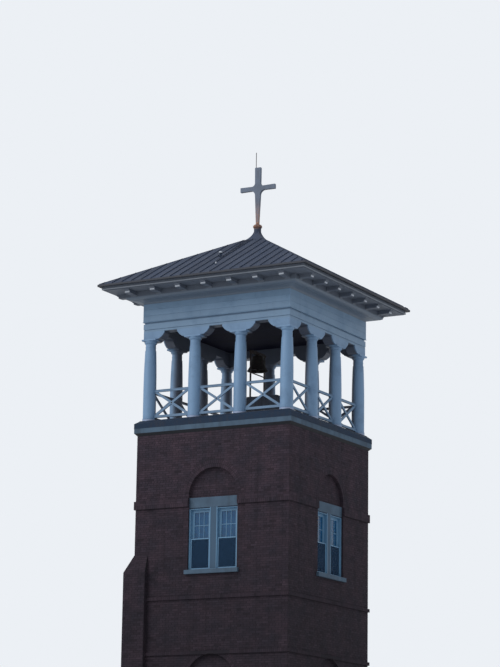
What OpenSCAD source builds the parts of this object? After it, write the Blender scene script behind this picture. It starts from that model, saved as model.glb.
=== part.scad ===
// Square brick bell tower with an open timber belfry under a low hipped metal roof.
// Millimetres, +Z up, origin on the ground at the centre of the shaft, front face towards -Y.

/* [Plan] */
// Distance between neighbouring belfry columns, three bays on each side
bay = 1600; // [1400:10:1800]
// Brick face outside the line of the columns
shaft_margin = 250; // [230:5:320]
// Thickness of the brick walls
wall_t = 450; // [360:10:520]
// Height of the belfry deck above the ground
deck_z = 14960; // [14400:20:16500]

/* [Brick shaft] */
// Distance from the belfry deck down to the top of the upper string course
string_drop = 2510; // [2420:10:2620]
// Height of the upper string course
string_h = 250; // [150:5:300]
// Projection of the string courses from the wall
string_out = 45; // [20:5:60]
// Height of the thin string courses below the window sills
belt_h = 100; // [60:5:140]
// Distance from the sill of a window row down to the first thin string course
belt_drop = 755; // [650:5:850]
// Distance between the two thin string courses
belt_pitch = 1650; // [1500:10:1750]
// Distance between the upper and the lower row of windows
storey_h = 5600; // [5400:10:5700]
// Thickness of the timber floors
floor_t = 220; // [150:10:300]
// Distance from a window sill down to the floor of its room
sill_height = 820; // [700:10:950]

/* [Corner buttresses] */
// Width of a buttress on the face of the tower, from the outer edge of the buttress
buttress_w = 760; // [600:10:900]
// Projection of a buttress to the side
buttress_side_out = 290; // [150:10:400]
// Projection of a buttress to the front or back
buttress_face_out = 155; // [80:5:250]
// Distance from the belfry deck down to the top of the sloping cap
buttress_drop = 4140; // [3800:10:4500]
// Height of the sloping cap
buttress_cap_h = 540; // [300:10:700]

/* [Windows] */
// Width of a window opening
window_w = 1696; // [1500:2:1850]
// Height of a window opening from sill to lintel
window_h = 1860; // [1600:10:2000]
// Distance from the belfry deck down to the sill line of the upper row
sill_drop = 4660; // [4560:10:4800]
// Offset of the windows towards the right of each face
window_shift = 65; // [0:5:100]
// Depth from the brick face to the window frame
reveal = 60; // [40:5:100]
// Height of the lintel
lintel_h = 305; // [200:5:340]
// Depth of the lintel face behind the brick face
lintel_set = 50; // [20:2:56]
// Depth of the blind arch over a lintel
arch_depth = 110; // [90:5:150]
// Straight height between the lintel and the springing of the blind arch
arch_stilt = 50; // [10:5:80]
// Thickness of a sill
sill_h = 145; // [100:5:200]
// Projection of a sill from the brick face
sill_out = 90; // [50:5:120]
// Overhang of a sill at each end
sill_end = 70; // [40:5:100]
// Width of the jambs and the head of a window frame
jamb_w = 50; // [40:2:70]
// Depth of a window frame
frame_d = 220; // [210:5:240]
// Width of the post between the paired windows
mullion_w = 270; // [230:10:330]
// Width of the stiles and rails of a sash
stile_w = 86; // [60:2:96]
// Height of the bottom rail of a lower sash
bottom_rail_h = 115; // [90:5:140]
// Height of the meeting rails
meeting_rail_h = 50; // [36:2:60]
// Thickness of a sash
sash_t = 42; // [34:2:48]
// Depth from the front of a frame to the upper sash
sash_set = 95; // [70:5:110]
// Thickness of the glass
glass_t = 6; // [4:1:8]

/* [Doorway] */
// Width of the ground floor doorway
door_w = 1200; // [1000:10:1400]
// Height of the ground floor doorway
door_h = 2300; // [2100:10:2500]
// Width of the door frame
door_frame_w = 90; // [60:5:120]
// Depth of the door frame
door_frame_d = 160; // [120:10:200]
// Thickness of the door
door_t = 55; // [45:1:70]
// Height of the step under the doorway, level with the ground floor
door_step_h = 150; // [100:10:180]

/* [Deck and coping] */
// Projection of the stone coping from the brick face
coping_out = 80; // [60:5:110]
// Height of the outer face of the coping
coping_h = 295; // [250:5:320]
// Fall of the sloping top of the coping
coping_fall = 84; // [50:2:90]
// Thickness of the belfry deck
deck_t = 200; // [150:10:260]
// Edge of the deck outside the line of the columns
deck_margin = 216; // [212:2:225]
// Distance from the deck down to the outer edge of the coping top
coping_drop = 98; // [94:2:120]

/* [Columns] */
// Height of a column from the deck to the bracket on it
column_h = 2576; // [2450:2:2700]
// Radius of the shaft above the base
column_r = 200; // [160:2:210]
// Radius of the top of the shaft
column_top_r = 172; // [164:1:182]
// Radius of the neck between the shaft and the capital
neck_column_r = 159; // [146:1:162]
// Height of the neck
neck_h = 205; // [160:5:240]
// Radius of the round plinth
plinth_r = 214; // [208:1:222]
// Height of the plinth
plinth_h = 60; // [50:2:64]
// Height of the round base moulding
base_h = 40; // [30:2:44]
// Height of the abacus
abacus_h = 48; // [36:2:60]
// Half width of the abacus across the beam
abacus_half = 210; // [200:1:225]
// Reach of the abacus along the beam, from the middle of the column
abacus_reach = 285; // [260:5:310]
// Height of the swelling cushion under the abacus
echinus_h = 88; // [60:2:100]

/* [Brackets on the columns] */
// Half length of a bracket along the beam
bracket_half = 570; // [500:5:640]
// Height of a bracket
bracket_h = 234; // [215:1:260]
// Distance from the column to the outer end of the lower lobe of a bracket
lobe_x = 395; // [370:5:420]
// Height of the outer end of the lower lobe
lobe_z = 16; // [10:1:24]
// Width and height of the square step between the lobes
lobe_step = 14; // [8:1:20]
// Bulge of the upper lobe from a straight line
lobe_bulge = 16; // [8:1:22]
// Height of the square end of a bracket above the upper lobe
bracket_end_h = 66; // [45:1:80]

/* [Railings] */
// Height of the top of the railing above the deck
rail_top = 985; // [930:5:1020]
// Height of the top rail
top_rail_h = 70; // [60:5:90]
// Gap between the foot of the column shafts and the bottom rail
low_rail_gap = 10; // [6:1:20]
// Height of the bottom rail
low_rail_h = 76; // [60:2:90]
// Thickness of the rails
rail_t = 70; // [50:5:90]
// Thickness of the crossed braces
brace_t = 44; // [30:2:48]
// Width of the crossed braces
brace_w = 72; // [50:2:90]

/* [Entablature] */
// Face of the beam outside the line of the columns
beam_out = 165; // [145:5:190]
// Thickness of the beam
beam_t = 350; // [300:5:375]
// Height of the beam
beam_h = 250; // [220:5:320]
// Height of the lower fascia of the beam
beam_step_h = 74; // [50:2:100]
// Height and depth of the joint between the lower and the upper fascia of the beam
beam_joint = 14; // [8:1:20]
// Height of the shadow groove between the beam and the round moulding
groove_h = 50; // [36:1:60]
// Depth of the shadow groove
groove_in = 30; // [15:1:40]
// Height of the round moulding over the groove
bead_h = 22; // [16:1:34]
// Height of the frieze
frieze_h = 570; // [500:5:640]
// Thickness of the frieze wall
frieze_t = 150; // [120:5:190]
// Height of the bed moulding over the frieze
bed_h = 180; // [140:5:220]
// Projection of the bed moulding
bed_out = 410; // [300:10:440]
// Thickness of the belfry ceiling
ceiling_t = 60; // [40:5:90]

/* [Eaves] */
// Eaves outside the face of the frieze
eave_out = 958; // [900:2:1020]
// Height of the soffit above the bed moulding
soffit_rise = 160; // [130:5:180]
// Thickness of the soffit boards
soffit_t = 30; // [20:2:50]
// Height of the lower edge of the fascia boards above the soffit
fascia_rise = 18; // [10:2:24]
// Height of the fascia
fascia_h = 105; // [90:5:130]
// Thickness of the fascia
fascia_t = 40; // [30:2:60]
// Height of the fillet at the foot of the fascia
fillet_h = 35; // [25:5:45]
// Number of soffit brackets on each side
eave_bracket_count = 7; // [5:2:9]
// Distance between neighbouring soffit brackets
eave_bracket_pitch = 900; // [800:10:920]
// Width of a soffit bracket
eave_bracket_w = 190; // [120:5:220]
// Distance from the outer end of a soffit bracket to the fascia
eave_bracket_gap = 48; // [40:2:70]
// Height of a soffit bracket at its outer end
eave_bracket_h = 122; // [110:2:136]

/* [Roof] */
// Rise of the roof for each millimetre of run
roof_pitch = 0.553; // [0.5:0.001:0.61]
// Edge of the roof outside the fascia
roof_edge = 105; // [85:5:125]
// Height of the edge of the roof
roof_edge_h = 45; // [30:5:60]
// Vertical thickness of the roof
roof_t = 130; // [125:5:160]
// Half width at which the roof turns up to the finial
flare_half = 300; // [240:10:360]

/* [Finial and cross] */
// Height of the swept square cap
cap_h = 323; // [290:1:350]
// Hollow of the swept cap from a straight line
cap_sweep = 36; // [20:1:46]
// Radius of the finial neck
neck_r = 115; // [104:1:124]
// Radius of the ball
ball_r = 146; // [135:1:160]
// Height of the flattened ball
ball_h = 176; // [150:2:200]
// Height of the middle of the ball above the foot of the cap
ball_rise = 473; // [460:1:500]
// Height of the cross above the ball
cross_h = 1846; // [1700:2:2000]
// Half span of the cross arms
cross_half = 620; // [540:10:700]
// Width of the foot of the cross
cross_foot_w = 84; // [74:1:110]
// Width of the cross where the curves to the arms begin
cross_waist_w = 176; // [150:1:186]
// Width of the top of the cross
cross_top_w = 198; // [190:1:215]
// Height of the arms beside the curves
cross_arm_h = 138; // [116:1:150]
// Radius of the curves under the arms
cross_low_r = 165; // [120:5:180]
// Radius of the curves over the arms
cross_high_r = 115; // [90:5:140]
// Thickness of the cross
cross_t = 95; // [70:5:120]
// Height of the middle of the arms above the ball
arm_rise = 1162; // [1050:2:1250]
// Height of the lightning rod above the cross
rod_h = 514; // [300:2:700]
// Radius of the lightning rod
rod_r = 11; // [8:1:16]
// Distance from the left edge of the cross to the lightning rod
rod_inset = 19; // [17:1:40]

/* [Bell] */
// Distance of the bell and its stand from the tower axis, to the right
bell_shift = 70; // [0:5:100]
// Width of the timber platform, across the front
platform_w = 1300; // [1260:10:1500]
// Distance of the middle of the platform from the tower axis, to the right
platform_shift = 400; // [300:10:450]
// Depth of the timber platform
platform_d = 1060; // [1020:10:1300]
// Height of the timber platform
platform_h = 914; // [800:2:1000]
// Radius of the bell at the lip
bell_r = 330; // [280:2:350]
// Height of the bell
bell_h = 500; // [440:5:560]
// Thickness of the bell wall at the lip
bell_lip_t = 36; // [28:1:44]
// Height of the bell lip above the platform
bell_rise = 921; // [880:1:960]
// Distance from the crown of the bell up to the swing axis
yoke_rise = 55; // [45:1:70]
// Distance between the two posts of the bell stand
post_gap = 900; // [860:5:960]
// Width of a post
post_w = 34; // [28:2:44]
// Depth of a post
post_d = 60; // [40:2:70]
// Radius of the gudgeon pins
gudgeon_r = 20; // [16:1:24]
// Radius of the clapper ball
clapper_r = 40; // [30:1:46]

/* [Hidden] */

brick = "#4a2c2e";
paint = "#c9d0da";
stone = "#b9bfc8";
timber = "#4b4440";
metal = "#5b6673";
iron = "#33363a";

round_fn = 48;
arc_steps = 8;
pin_clear = 0.1;
seat_gap = 0.3;
cut = 10;

column_line = 1.5 * bay;
shaft_half = column_line + shaft_margin;
inner_half = shaft_half - wall_t;
deck_half = column_line + deck_margin;
coping_half = shaft_half + coping_out;
beam_half = column_line + beam_out;
beam_in = beam_half - beam_t;
frieze_half = beam_half + 12;
frieze_in = frieze_half - frieze_t;
eave_half = frieze_half + eave_out;
roof_half = eave_half + roof_edge;

coping_top = deck_z - coping_drop;
coping_low = coping_top - coping_h - coping_out;
wall_top = coping_low;
bracket_z = deck_z + column_h;
beam_z = bracket_z + bracket_h;
bead_z = beam_z + beam_h;
frieze_z = bead_z + groove_h + bead_h;
bed_z = frieze_z + frieze_h;
eave_bracket_z = bed_z + bed_h + soffit_rise - eave_bracket_h;
soffit_z = bed_z + bed_h + soffit_rise;
fascia_z = soffit_z + fascia_rise;
roof_z = fascia_z + fascia_h;
flare_z = roof_z + roof_edge_h + roof_pitch * (roof_half - flare_half);
ball_z = flare_z + ball_rise;
boss_h = 42;
boss_r = 60;
cross_z = ball_z + ball_h / 2 + boss_h / 2;

sill_z = deck_z - sill_drop;
window_rows = [sill_z, sill_z - storey_h];
string_z = deck_z - string_drop - string_h;
belt_levels = [
    for (row = window_rows) row - sill_h - belt_drop,
    sill_z - sill_h - belt_drop - belt_pitch
];
upper_floor_z = sill_z - sill_height;
middle_floor_z = upper_floor_z - storey_h;
arch_r = window_w / 2;
sash_w = (window_w - 2 * jamb_w - mullion_w) / 2;
sash_x = mullion_w / 2 + sash_w / 2;
sash_top_h = window_h - jamb_w;
meeting_z = sash_top_h / 2;

post_y = post_gap / 2;
platform_z = deck_z + platform_h;
lip_z = platform_z + bell_rise;
axle_z = lip_z + bell_h + yoke_rise;
lip_reach = sqrt(bell_r * bell_r + (axle_z - lip_z) * (axle_z - lip_z));
tie_top = axle_z - lip_reach - 12;
bearing_half = 48;
bearing_r = gudgeon_r + pin_clear;
staple_z = lip_z + bell_h - 96;
clapper_l = bell_h - 96 - clapper_r + 14;

shaft_foot = plinth_h + base_h;
shaft_top = column_h - abacus_h - echinus_h - neck_h;

// Straight for the lower two fifths, then curving in to the top of the shaft.
function column_radius(z) =
    let (t = (z - shaft_foot) / (shaft_top - shaft_foot))
    column_r - (column_r - column_top_r) * pow(max(0, (t - 0.4) / 0.6), 2);

// Turns what is drawn for the front face to a side: 0 front, 1 right, 2 back, 3 left.
module to_side(side) {
    rotate([0, 0, 90 * side]) children();
}

// Drawn for the front: points are [distance out from the tower axis, height].
module mitred(points, reach) {
    intersection() {
        rotate([90, 0, 90]) translate([0, 0, -reach])
            linear_extrude(2 * reach) polygon([for (p = points) [-p[0], p[1]]]);
        linear_extrude(1e5) polygon([[0, 0], [-reach, -reach], [reach, -reach]]);
    }
}

// A plate drawn as [sideways, height] on the front face, from depth y0 behind that face to y1.
module face_plate(face, y0, y1) {
    translate([0, y1 - face, 0]) rotate([90, 0, 0]) linear_extrude(y1 - y0) children();
}

module window_outline(row) {
    translate([window_shift - window_w / 2, row - sill_h]) square([window_w, window_h + sill_h]);
}

module arch_outline(row) {
    top = row + window_h;
    translate([window_shift, top + lintel_h + arch_stilt]) circle(arch_r, $fn = 96);
    translate([window_shift - arch_r, top]) square([2 * arch_r, lintel_h + arch_stilt]);
}

module string_course(z, h, half_len) {
    translate([-half_len, -shaft_half - string_out, z])
        cube([2 * half_len, wall_t + string_out, h]);
}

module wall(side, half_len, has_door) {
    course_len = half_len + (half_len == shaft_half ? string_out : 0);
    color(brick) to_side(side) difference() {
        union() {
            translate([-half_len, -shaft_half, 0]) cube([2 * half_len, wall_t, wall_top]);
            string_course(string_z, string_h, course_len);
            for (z = belt_levels) string_course(z, belt_h, course_len);
        }
        for (row = window_rows) {
            face_plate(shaft_half, -string_out - cut, wall_t + cut) window_outline(row);
            face_plate(shaft_half, -string_out - cut, arch_depth) arch_outline(row);
        }
        if (has_door)
            translate([-door_w / 2, -shaft_half - cut, door_step_h])
                cube([door_w, wall_t + 2 * cut, door_h]);
    }
}

module front_wall() { wall(0, shaft_half, true); }
module back_wall() { wall(2, shaft_half, false); }
module right_wall() { wall(1, inner_half, false); }
module left_wall() { wall(3, inner_half, false); }

// Clasps the front left corner; the cap slopes back to both brick faces.
module buttress() {
    out_x = shaft_half + buttress_side_out;
    out_y = shaft_half + buttress_face_out;
    top = deck_z - buttress_drop;
    low = top - buttress_cap_h;
    side_plan = out_x - buttress_w;
    color(brick) difference() {
        intersection() {
            translate([0, -side_plan, 0]) rotate([90, 0, 0]) linear_extrude(out_y - side_plan + cut)
                polygon([[-out_x, 0], [-side_plan, 0], [-side_plan, top], [-shaft_half, top],
                    [-out_x, low]]);
            translate([-out_x - cut, 0, 0]) rotate([90, 0, 90]) linear_extrude(buttress_w + 2 * cut)
                polygon([[-out_y, 0], [-side_plan, 0], [-side_plan, top], [-shaft_half, top],
                    [-out_y, low]]);
        }
        translate([-shaft_half, -shaft_half, -cut])
            cube([2 * shaft_half, 2 * shaft_half, deck_z]);
        for (z = belt_levels)
            translate([-shaft_half - string_out, -shaft_half - string_out, z])
                cube([2 * shaft_half, 2 * shaft_half, belt_h]);
    }
}

module front_left_buttress() { buttress(); }
module back_left_buttress() { mirror([0, 1, 0]) buttress(); }

module room_floor(top, t, shade) {
    color(shade) translate([-inner_half, -inner_half, top - t])
        cube([2 * inner_half, 2 * inner_half, t]);
}

module ground_floor() { room_floor(door_step_h, door_step_h, stone); }
module middle_floor() { room_floor(middle_floor_z, floor_t, timber); }
module upper_floor() { room_floor(upper_floor_z, floor_t, timber); }

// Repeats what is drawn for one window of the front at sill height zero.
module at_windows() {
    for (side = [0:3], row = window_rows) to_side(side) translate([window_shift, 0, row]) children();
}

module window_sills() {
    half = window_w / 2 + sill_end;
    color(stone) at_windows() union() {
        rotate([90, 0, 90]) translate([0, 0, -window_w / 2]) linear_extrude(window_w)
            polygon([[-shaft_half - sill_out, -sill_h], [-shaft_half + reveal + frame_d, -sill_h],
                [-shaft_half + reveal + frame_d, 0], [-shaft_half + reveal, 0],
                [-shaft_half - sill_out, -22]]);
        rotate([90, 0, 90]) translate([0, 0, -half]) linear_extrude(2 * half)
            polygon([[-shaft_half - sill_out, -sill_h], [-shaft_half, -sill_h],
                [-shaft_half, -13], [-shaft_half - sill_out, -22]]);
    }
}

module window_lintels() {
    color(stone) at_windows() translate([-window_w / 2, -shaft_half + lintel_set, window_h])
        cube([window_w, arch_depth - lintel_set, lintel_h]);
}

module window_frames() {
    color(paint) at_windows() face_plate(shaft_half, reveal, reveal + frame_d) difference() {
        translate([-window_w / 2, 0]) square([window_w, window_h]);
        for (s = [-1, 1])
            translate([s * sash_x - sash_w / 2, -cut]) square([sash_w, sash_top_h + cut]);
    }
}

module sash_frame(y, z, h, low_rail, high_rail) {
    face_plate(shaft_half, y, y + sash_t) translate([0, z]) difference() {
        translate([-sash_w / 2, 0]) square([sash_w, h]);
        translate([-sash_w / 2 + stile_w, low_rail])
            square([sash_w - 2 * stile_w, h - low_rail - high_rail]);
    }
}

upper_sash_y = reveal + sash_set;
lower_sash_y = upper_sash_y + sash_t + seat_gap;
half_meeting = meeting_rail_h / 2;

module window_sashes() {
    color(paint) at_windows() for (s = [-1, 1]) translate([s * sash_x, 0, 0]) {
        sash_frame(upper_sash_y, meeting_z - half_meeting, sash_top_h - meeting_z + half_meeting,
            meeting_rail_h, stile_w);
        sash_frame(lower_sash_y, 0, meeting_z + half_meeting, bottom_rail_h, meeting_rail_h);
    }
}

module pane(y, z0, z1) {
    translate([-sash_w / 2 + stile_w, y - shaft_half + (sash_t - glass_t) / 2, z0])
        cube([sash_w - 2 * stile_w, glass_t, z1 - z0]);
}

module window_glass() {
    color("#8fa3b5", 0.5) at_windows() for (s = [-1, 1]) translate([s * sash_x, 0, 0]) {
        pane(upper_sash_y, meeting_z + half_meeting, sash_top_h - stile_w);
        pane(lower_sash_y, bottom_rail_h, meeting_z - half_meeting);
    }
}

module door_frame() {
    color(paint) face_plate(shaft_half, reveal, reveal + door_frame_d) difference() {
        translate([-door_w / 2, door_step_h]) square([door_w, door_h]);
        translate([-door_w / 2 + door_frame_w, door_step_h - cut])
            square([door_w - 2 * door_frame_w, door_h - door_frame_w + cut]);
    }
}

module door() {
    color(timber) face_plate(shaft_half, reveal + 50, reveal + 50 + door_t)
        translate([-door_w / 2 + door_frame_w, door_step_h])
            square([door_w - 2 * door_frame_w, door_h - door_frame_w]);
}

// Stone coping: flat bed for the deck, weathered top, chamfer under the outer face.
module coping(side) {
    color(stone) to_side(side) mitred([
        [inner_half, coping_low], [shaft_half, coping_low], [coping_half, coping_low + coping_out],
        [coping_half, coping_top], [deck_half, coping_top + coping_fall], [deck_half, deck_z - deck_t],
        [inner_half, deck_z - deck_t]
    ], coping_half + cut);
}

module front_coping() { coping(0); }
module right_coping() { coping(1); }
module back_coping() { coping(2); }
module left_coping() { coping(3); }

module belfry_deck() {
    color(timber) translate([-deck_half, -deck_half, deck_z - deck_t])
        cube([2 * deck_half, 2 * deck_half, deck_t]);
}

// Round column: plinth, base ring, shaft, neck with a thin ring, and a cushion under the abacus.
module column() {
    steps = 12;
    top = column_h - abacus_h;
    neck_top = top - echinus_h;
    ring_z = shaft_top + neck_h / 2;
    bead = 6;
    swell = 12;
    shaft = [for (i = [0:steps]) let (z = shaft_foot + (shaft_top - shaft_foot) * i / steps)
        [column_radius(z), z]];
    round_base = [for (a = [-90:15:90])
        [column_r + swell * cos(a), plinth_h + base_h / 2 * (1 + sin(a))]];
    cushion = [for (a = [0:15:90])
        [neck_column_r + (abacus_half - bead - neck_column_r) * sin(a), top - echinus_h * cos(a)]];
    rotate_extrude($fn = round_fn) polygon(concat(
        [[0, 0], [plinth_r, 0], [plinth_r, plinth_h]], round_base, shaft,
        [[neck_column_r, shaft_top + bead], [neck_column_r, ring_z - 2 * bead],
            [neck_column_r + bead, ring_z], [neck_column_r, ring_z + 2 * bead]],
        cushion, [[0, top]]
    ));
}

// Flat board on a column, reaching along the beam to the left and to the right.
module abacus(left, right) {
    translate([-left, -abacus_half, column_h - abacus_h]) cube([left + right, 2 * abacus_half, abacus_h]);
}

module corner_columns() {
    color(paint) for (side = [0:3]) to_side(side) translate([column_line, -column_line, deck_z]) union() {
        column();
        abacus(abacus_reach, abacus_half);
        rotate([0, 0, 90]) abacus(abacus_half, abacus_reach);
    }
}

module middle_columns() {
    color(paint) for (side = [0:3], x = [-1, 1])
        to_side(side) translate([x * bay / 2, -column_line, deck_z]) union() {
            column();
            abacus(abacus_reach, abacus_reach);
        }
}

// Points of a circular arc from a to b that bulges out to the right of that direction.
function arc_points(a, b, bulge) =
    let (chord = norm(b - a), along = (b - a) / chord, out = [along[1], -along[0]],
        r = (chord * chord / 4 + bulge * bulge) / (2 * bulge),
        centre = (a + b) / 2 - (r - bulge) * out, half = asin(chord / (2 * r)))
    [for (i = [0:arc_steps]) let (t = half * (2 * i / arc_steps - 1))
        centre + r * (sin(t) * along + cos(t) * out)];

// Half outline of a scroll-sawn bracket with two lobes, from its middle out to one end.
module bracket_half_outline() {
    end_z = bracket_h - bracket_end_h;
    polygon(concat(
        [[0, 0]], arc_points([abacus_reach, 0], [lobe_x, lobe_z], lobe_z / 4),
        [[lobe_x + lobe_step, lobe_z]],
        arc_points([lobe_x + lobe_step, lobe_z + lobe_step], [bracket_half - 15, end_z], lobe_bulge),
        [[bracket_half, end_z], [bracket_half, bracket_h], [0, bracket_h]]
    ));
}

// Bracket along the beam; reach_left and reach_right choose the ends that it has.
module bracket(reach_left, reach_right) {
    translate([0, -beam_out, 0]) rotate([90, 0, 0]) translate([0, 0, -beam_t]) linear_extrude(beam_t)
        union() {
            if (reach_right) bracket_half_outline();
            else square([beam_out, bracket_h]);
            if (reach_left) mirror([1, 0]) bracket_half_outline();
            else translate([-beam_out, 0]) square([beam_out, bracket_h]);
        }
}

module middle_brackets() {
    color(paint) for (side = [0:3], x = [-1, 1])
        to_side(side) translate([x * bay / 2, -column_line, bracket_z]) bracket(true, true);
}

module corner_brackets() {
    color(paint) for (side = [0:3]) to_side(side) translate([column_line, -column_line, bracket_z])
        union() {
            bracket(true, false);
            rotate([0, 0, 90]) bracket(false, true);
        }
}

// One railing panel between two columns: two rails and a pair of crossed braces.
module railing_panel() {
    low = shaft_foot + low_rail_gap;
    top_low = rail_top - top_rail_h;
    low_half = bay / 2 - column_radius(low) - seat_gap;
    top_half = bay / 2 - column_radius(top_low) - seat_gap;
    brace_rise = top_low - low - low_rail_h;
    angle = atan2(brace_rise, 2 * low_half - brace_w);
    middle = low + low_rail_h + brace_rise / 2;
    translate([-low_half, -rail_t / 2, low]) cube([2 * low_half, rail_t, low_rail_h]);
    translate([-top_half, -rail_t / 2, top_low]) cube([2 * top_half, rail_t, top_rail_h]);
    translate([0, brace_t / 2, 0]) rotate([90, 0, 0]) linear_extrude(brace_t) intersection() {
        translate([-low_half, low + low_rail_h - 5]) square([2 * low_half, brace_rise + 10]);
        translate([0, middle]) union() for (a = [angle, -angle])
            rotate(a) square([2 * bay, brace_w], center = true);
    }
}

module railing(side) {
    color(paint) to_side(side) for (x = [-1:1])
        translate([x * bay, -column_line, deck_z]) railing_panel();
}

module front_railing() { railing(0); }
module right_railing() { railing(1); }
module back_railing() { railing(2); }
module left_railing() { railing(3); }

// Beam with a stepped face, round moulding, frieze wall and bed moulding, as one built-up side.
module entablature(side) {
    bed_top = bed_z + bed_h;
    face = beam_half + 8;
    step_z = beam_z + beam_step_h;
    color(paint) to_side(side) mitred(concat(
        [[beam_in, beam_z], [beam_half, beam_z], [beam_half, step_z - beam_joint],
            [beam_half - beam_joint, step_z - beam_joint], [beam_half - beam_joint, step_z],
            [face, step_z], [face, bead_z], [face - groove_in, bead_z],
            [face - groove_in, bead_z + groove_h]],
        [for (a = [-90:30:90])
            [frieze_half + 10 + bead_h / 2 * cos(a), frieze_z - bead_h / 2 * (1 - sin(a))]],
        [[frieze_half, frieze_z], [frieze_half, bed_z]],
        [for (a = [0:15:90]) [frieze_half + 0.55 * bed_out * (1 - cos(a)), bed_z + 0.45 * bed_h * sin(a)]],
        [[frieze_half + 0.62 * bed_out, bed_z + 0.45 * bed_h]],
        [for (a = [0:15:90]) [frieze_half + bed_out * (0.62 + 0.38 * sin(a)),
            bed_z + bed_h * (0.92 - 0.42 * cos(a))]],
        [[frieze_half + bed_out, bed_top], [frieze_half, bed_top], [frieze_half, soffit_z],
            [frieze_in, soffit_z], [frieze_in, bead_z], [beam_in, bead_z]]
    ), eave_half);
}

module front_entablature() { entablature(0); }
module right_entablature() { entablature(1); }
module back_entablature() { entablature(2); }
module left_entablature() { entablature(3); }

module belfry_ceiling() {
    color(timber) translate([-frieze_in, -frieze_in, bead_z])
        cube([2 * frieze_in, 2 * frieze_in, ceiling_t]);
}

// Soffit bracket, drawn for the front, with two round lobes under its outer end.
module eave_bracket() {
    outer = eave_half - fascia_t - eave_bracket_gap;
    bed_edge = frieze_half + bed_out;
    r = 0.42 * eave_bracket_h;
    step = 0.08 * eave_bracket_h;
    translate([-eave_bracket_w / 2, 0, 0]) rotate([90, 0, 90]) linear_extrude(eave_bracket_w)
        polygon(concat(
            [[-frieze_half, soffit_z], [-frieze_half, bed_z + bed_h], [-bed_edge, bed_z + bed_h],
                [-bed_edge - 25, eave_bracket_z]],
            [for (a = [0:15:90])
                [-outer + 2 * r + step - r * sin(a), eave_bracket_z + r - r * cos(a)]],
            [for (a = [0:15:90])
                [-outer + r - r * sin(a), eave_bracket_z + step + 2 * r - r * cos(a)]],
            [[-outer, soffit_z]]
        ));
}

module eave_brackets() {
    first = -(eave_bracket_count - 1) / 2;
    color(paint) for (side = [0:3], i = [0:eave_bracket_count - 1])
        to_side(side) translate([(first + i) * eave_bracket_pitch, 0, 0]) eave_bracket();
}

// Boxed eave: soffit boards and a fascia with a fillet along its foot.
module eave(side) {
    board = eave_half - 10;
    color(paint) to_side(side) mitred([
        [frieze_in, soffit_z], [eave_half - fascia_t, soffit_z], [eave_half - fascia_t, fascia_z],
        [eave_half, fascia_z], [eave_half, fascia_z + fillet_h], [board, fascia_z + fillet_h],
        [board, roof_z], [eave_half - fascia_t, roof_z],
        [eave_half - fascia_t, soffit_z + soffit_t], [frieze_in, soffit_z + soffit_t]
    ], eave_half + cut);
}

module front_eave() { eave(0); }
module right_eave() { eave(1); }
module back_eave() { eave(2); }
module left_eave() { eave(3); }

// Closed outline from the points of its right half, going upwards.
function both_sides(points) =
    concat(points, [for (i = [len(points) - 1:-1:0]) [-points[i][0], points[i][1]]]);

// Square form whose four sides follow one outline of [distance from the axis, height].
module four_sided(points) {
    reach = points[0][0] + cut;
    outline = both_sides(points);
    intersection() {
        rotate([90, 0, 0]) translate([0, 0, -reach]) linear_extrude(2 * reach) polygon(outline);
        rotate([90, 0, 90]) translate([0, 0, -reach]) linear_extrude(2 * reach) polygon(outline);
    }
}

module roof() {
    top = roof_z + roof_edge_h;
    attic_half = roof_half - (roof_t - roof_edge_h) / roof_pitch;
    attic_top = flare_half - 60;
    color(metal) difference() {
        four_sided([[roof_half, roof_z], [roof_half, top], [flare_half, flare_z]]);
        four_sided([[attic_half, roof_z - cut], [attic_half, roof_z],
            [attic_top, roof_z + roof_pitch * (attic_half - attic_top)]]);
    }
}

// Swept square cap, turned neck and flattened ball over the top of the roof.
module roof_finial() {
    cap_top = [0.7 * neck_r, flare_z + cap_h];
    color(metal) union() {
        four_sided(arc_points([flare_half, flare_z], cap_top, -cap_sweep));
        translate([0, 0, flare_z]) cylinder(h = ball_rise, r = neck_r, $fn = round_fn);
        translate([0, 0, ball_z]) rotate_extrude($fn = round_fn)
            polygon([for (a = [-90:10:90]) [ball_r * cos(a), ball_h / 2 * sin(a)]]);
        translate([0, 0, cross_z - boss_h]) cylinder(h = boss_h, r = boss_r, $fn = round_fn);
    }
}

// Fills a corner at the origin with a hollow curve; x and y are the signs of its quarter.
module corner_fill(r, x, y) {
    difference() {
        translate([x * (r - 1) / 2, y * (r - 1) / 2]) square(r + 1, center = true);
        translate([x * r, y * r]) circle(r, $fn = 96);
    }
}

// Latin cross whose members widen towards their ends, with hollow curves in its corners.
module cross() {
    foot = cross_foot_w / 2;
    waist = cross_waist_w / 2;
    crown = cross_top_w / 2;
    throat = 0.94 * crown;
    arm = cross_arm_h / 2;
    arm_end = 1.09 * arm;
    color(metal) translate([0, cross_t / 2, cross_z]) rotate([90, 0, 0]) linear_extrude(cross_t) union() {
        polygon(both_sides([[foot, 0], [waist, arm_rise - arm - cross_low_r], [waist, arm_rise],
            [throat, arm_rise + arm], [crown, cross_h]]));
        polygon(both_sides([[0, arm_rise - arm], [waist + cross_low_r, arm_rise - arm],
            [cross_half, arm_rise - arm_end], [cross_half, arm_rise + arm_end],
            [throat + cross_high_r, arm_rise + arm], [0, arm_rise + arm]]));
        for (side = [-1, 1]) {
            translate([side * waist, arm_rise - arm]) corner_fill(cross_low_r, side, -1);
            translate([side * throat, arm_rise + arm]) corner_fill(cross_high_r, side, 1);
        }
    }
}

module lightning_rod() {
    color(iron) translate([-cross_top_w / 2 + rod_inset, 0, cross_z + cross_h])
        cylinder(h = rod_h, r = rod_r, $fn = 24);
}

module bell_platform() {
    color(timber) translate([platform_shift - platform_w / 2, -platform_d / 2, deck_z])
        cube([platform_w, platform_d, platform_h]);
}

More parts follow.
